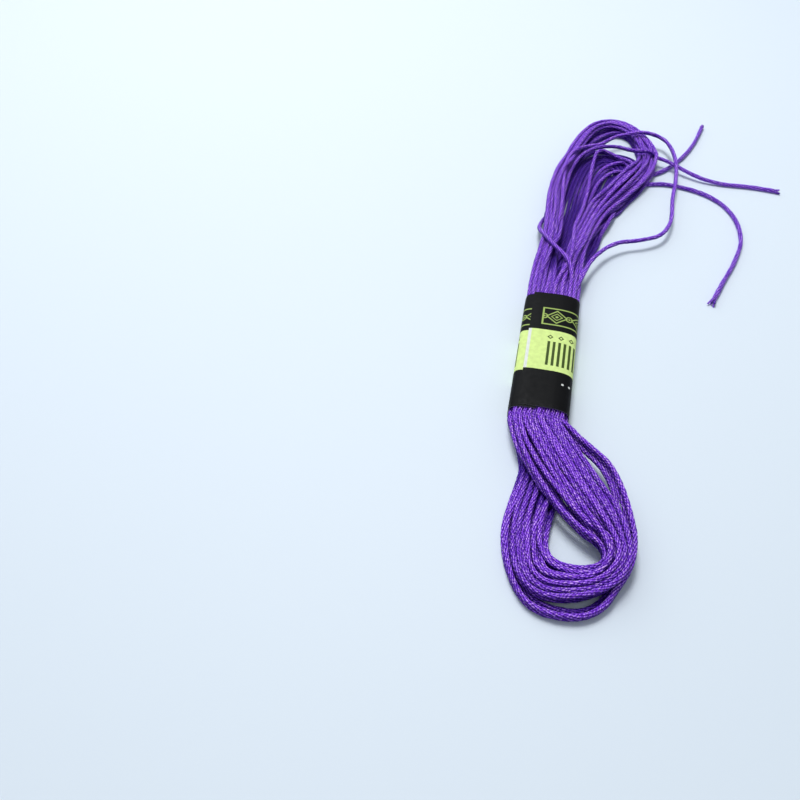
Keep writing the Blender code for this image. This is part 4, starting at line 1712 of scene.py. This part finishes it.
@dataclass
class SkeinThreads:
    """Turns the settled paths into pieces of thread.

    Each thread's sides and underside get painted shade, which grows from nothing above side_from
    to side_shade one side_fall lower, in thread radii above the thread's middle.
    """

    floss: Floss
    seed: int = 23
    side_from: float = 0.85
    side_fall: float = 0.85
    side_shade: float = 0.9

    def painted_side_shade(self, path: np.ndarray, vertices: np.ndarray) -> np.ndarray:
        """Return the painted shade of each vertex, by how far down its own thread's side it lies, from 0 on
        top.

        Args:
            path: ring centres.
            vertices: the thread's vertices, ring by ring, with those of its two ends last.

        Returns:
            The painted shade of each vertex.
        """
        middles = np.append(np.repeat(path[:, 2], self.floss.strands * self.floss.facets), path[[0, -1], 2])
        height = (vertices[:, 2] - middles) / self.floss.radius
        return self.side_shade * ease((self.side_from - height) / self.side_fall)

    def build(self, threads: list[Thread], material: bpy.types.Material) -> list[bpy.types.Object]:
        """Build one piece for each lock and single turn.

        Args:
            threads: the settled threads of the hank.
            material: the cotton.

        Returns:
            The pieces.
        """
        rng = np.random.default_rng(self.seed)
        canopy = Canopy(threads)
        patches: dict[str, list[Patch]] = {}
        shades: dict[str, list[np.ndarray]] = {}
        for thread in threads:
            path = smooth_curve(thread.path, self.floss.ring_step)
            swept = self.floss.sweep(path, rng)
            patches.setdefault(thread.piece, []).append(swept)
            shades.setdefault(thread.piece, []).append(self.painted_side_shade(path, swept.vertices))
        pieces = []
        for name, parts in patches.items():
            patch = join(parts)
            piece = make_object(name, patch, material, "thread_run")
            # Painted shade: the greater of a vertex's depth among the threads and its own side shade.
            depth = np.maximum(canopy.depth(patch.vertices), np.concatenate(shades[name]))
            painted_shade = piece.data.attributes.new("painted_shade_depth", "FLOAT", "POINT")
            painted_shade.data.foreach_set("value", depth.astype(np.float32))
            declare(piece, "skein")
            pieces.append(piece)
        return pieces


@dataclass(frozen=True)
class FreeEnd:
    """A loose end of thread that lies on the table, its six strands fraying at the cut.

    fray is the frayed length, splay how far the strands come apart and flare how much the thread
    thickens before them.
    """

    name: str
    fray: float
    splay: float
    flare: float
    seed: int
    fray_step: float = 0.3
    fray_overlap: float = 0.7

    def build(self, floss: Floss, material: bpy.types.Material) -> bpy.types.Object:
        """Args:
            floss: the thread's shape.
            material: the cotton.

        Returns:
            The piece.
        """
        rng = np.random.default_rng(self.seed)
        path = smooth_curve(np.array(FREE_ENDS[self.name]), floss.ring_step)
        place = along(path)
        plied = path[place <= place[-1] - self.fray * self.fray_overlap]
        loose = smooth_curve(path[place >= place[-1] - self.fray], self.fray_step)
        patch = join([floss.sweep(plied, rng, self.flare), floss.frayed_tip(loose, rng, self.splay)])
        piece = make_object(f"{self.name}_thread", patch, material, "thread_run")
        declare(piece, self.name)
        LOG.info("%s: %.1f mm", self.name, place[-1])
        return piece


CUT_ENDS = (
    FreeEnd("free_end_short", fray=3.0, splay=0.35, flare=0.02, seed=3),
    FreeEnd("free_end_straight", fray=3.0, splay=0.45, flare=0.02, seed=4),
    FreeEnd("free_end_curved", fray=4.5, splay=0.75, flare=0.14, seed=6),
)


# --------------------------------------------------------------------------- studio


@dataclass(frozen=True)
class Light:
    """A light and where it stands: azimuth from -Y and elevation in degrees, and distance in metres.

    size is a square panel's side in metres, or 0 for the sun.
    """

    name: str
    power: float
    colour: tuple[float, float, float]
    azimuth: float
    elevation: float
    distance: float
    size: float = 0.0
    sun_angle: float = 15.0

    def build(self, middle: Vector) -> None:
        """Add the light, turned to face a place.

        Args:
            middle: the place.
        """
        data = bpy.data.lights.new(self.name, "AREA" if self.size else "SUN")
        data.energy, data.color = self.power, self.colour
        if self.size:
            data.size = self.size
        else:
            data.angle = radians(self.sun_angle)
        a, e = radians(self.azimuth), radians(self.elevation)
        back = Vector((sin(a) * cos(e), -cos(a) * cos(e), sin(e)))
        light = bpy.data.objects.new(self.name, data)
        light.location = middle + back * self.distance
        light.rotation_euler = back.to_track_quat("Z", "Y").to_euler()
        bpy.context.scene.collection.objects.link(light)


DAYLIGHT = (
    Light("high_sun", 0.78, (0.975, 0.985, 1.0), 212.0, 67.0, 1.0),
    Light("high_window", 1.33, (0.975, 0.985, 1.0), 207.0, 66.0, 0.54, size=0.19),
    Light("broad_soft", 2.80, (0.92, 0.96, 1.0), 223.0, 37.0, 0.92, size=0.8),
)


@dataclass
class Studio:
    """Pale table, soft light from behind on the left, and the camera. Sizes are metres and degrees."""

    camera_place: tuple[float, float, float] = (-0.0075316, -0.1344367, 0.1413)
    camera_pitch: float = 40.0
    camera_yaw: float = 12.0
    lens: float = 35.1
    sensor: float = 36.0
    clip: tuple[float, float] = (0.005, 10.0)
    table: Colour = (0.697, 0.772, 0.844, 1.0)
    table_half: float = 6.0
    table_roughness: float = 0.6
    middle: tuple[float, float, float] = (0.012, 0.025, 0.0)
    sky_colour: Colour = (0.88, 0.94, 1.0, 1.0)
    sky: float = 0.385

    def make_camera(self) -> None:
        """Place the camera."""
        data = bpy.data.cameras.new("camera")
        data.lens, data.sensor_width = self.lens, self.sensor
        data.clip_start, data.clip_end = self.clip
        camera = bpy.data.objects.new("camera", data)
        camera.location = self.camera_place
        camera.rotation_euler = (radians(self.camera_pitch), 0.0, radians(self.camera_yaw))
        bpy.context.scene.collection.objects.link(camera)
        bpy.context.scene.camera = camera

    def make_table(self) -> None:
        """Lay a pale plain table top."""
        mesh = bpy.data.meshes.new("table_top")
        r = self.table_half
        mesh.from_pydata([(-r, -r, 0), (r, -r, 0), (r, r, 0), (-r, r, 0)], [], [(0, 1, 2, 3)])
        table = bpy.data.objects.new("table_top", mesh)
        bpy.context.scene.collection.objects.link(table)
        _, material, shader = new_material("pale_table")
        set_inputs(shader, {"Base Color": self.table, "Roughness": self.table_roughness})
        mesh.materials.append(material)

    def make_light(self) -> None:
        """Set the soft daylight: a pale sky, a high key behind on the left, and a broad soft panel."""
        world = bpy.data.worlds.new("daylight")
        world.use_nodes = True
        sky = world.node_tree.nodes["Background"]
        set_inputs(sky, {"Color": self.sky_colour, "Strength": self.sky})
        bpy.context.scene.world = world
        for light in DAYLIGHT:
            light.build(Vector(self.middle))
        bpy.context.scene.view_settings.view_transform = "Standard"

    def build(self) -> None:
        """Build the whole studio."""
        self.make_camera()
        self.make_table()
        self.make_light()


def main() -> None:
    """Build the studio and the skein, and report each piece."""
    logging.basicConfig(level=logging.INFO, format="%(message)s")
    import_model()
    Studio().build()
    cotton = CottonFinish().material(SpunStrand().build())
    floss = Floss()
    pieces = [end.build(floss, cotton) for end in CUT_ENDS]
    pieces += SkeinThreads(floss).build(Winding().build(), cotton)
    band = PaperBand().build(PaperFinish().material())
    declare(band, "paper_band")
    for piece in pieces + [band]:
        LOG.info("%s: %d triangles", piece.name, len(piece.data.loop_triangles))


if __name__ == "__main__":
    main()
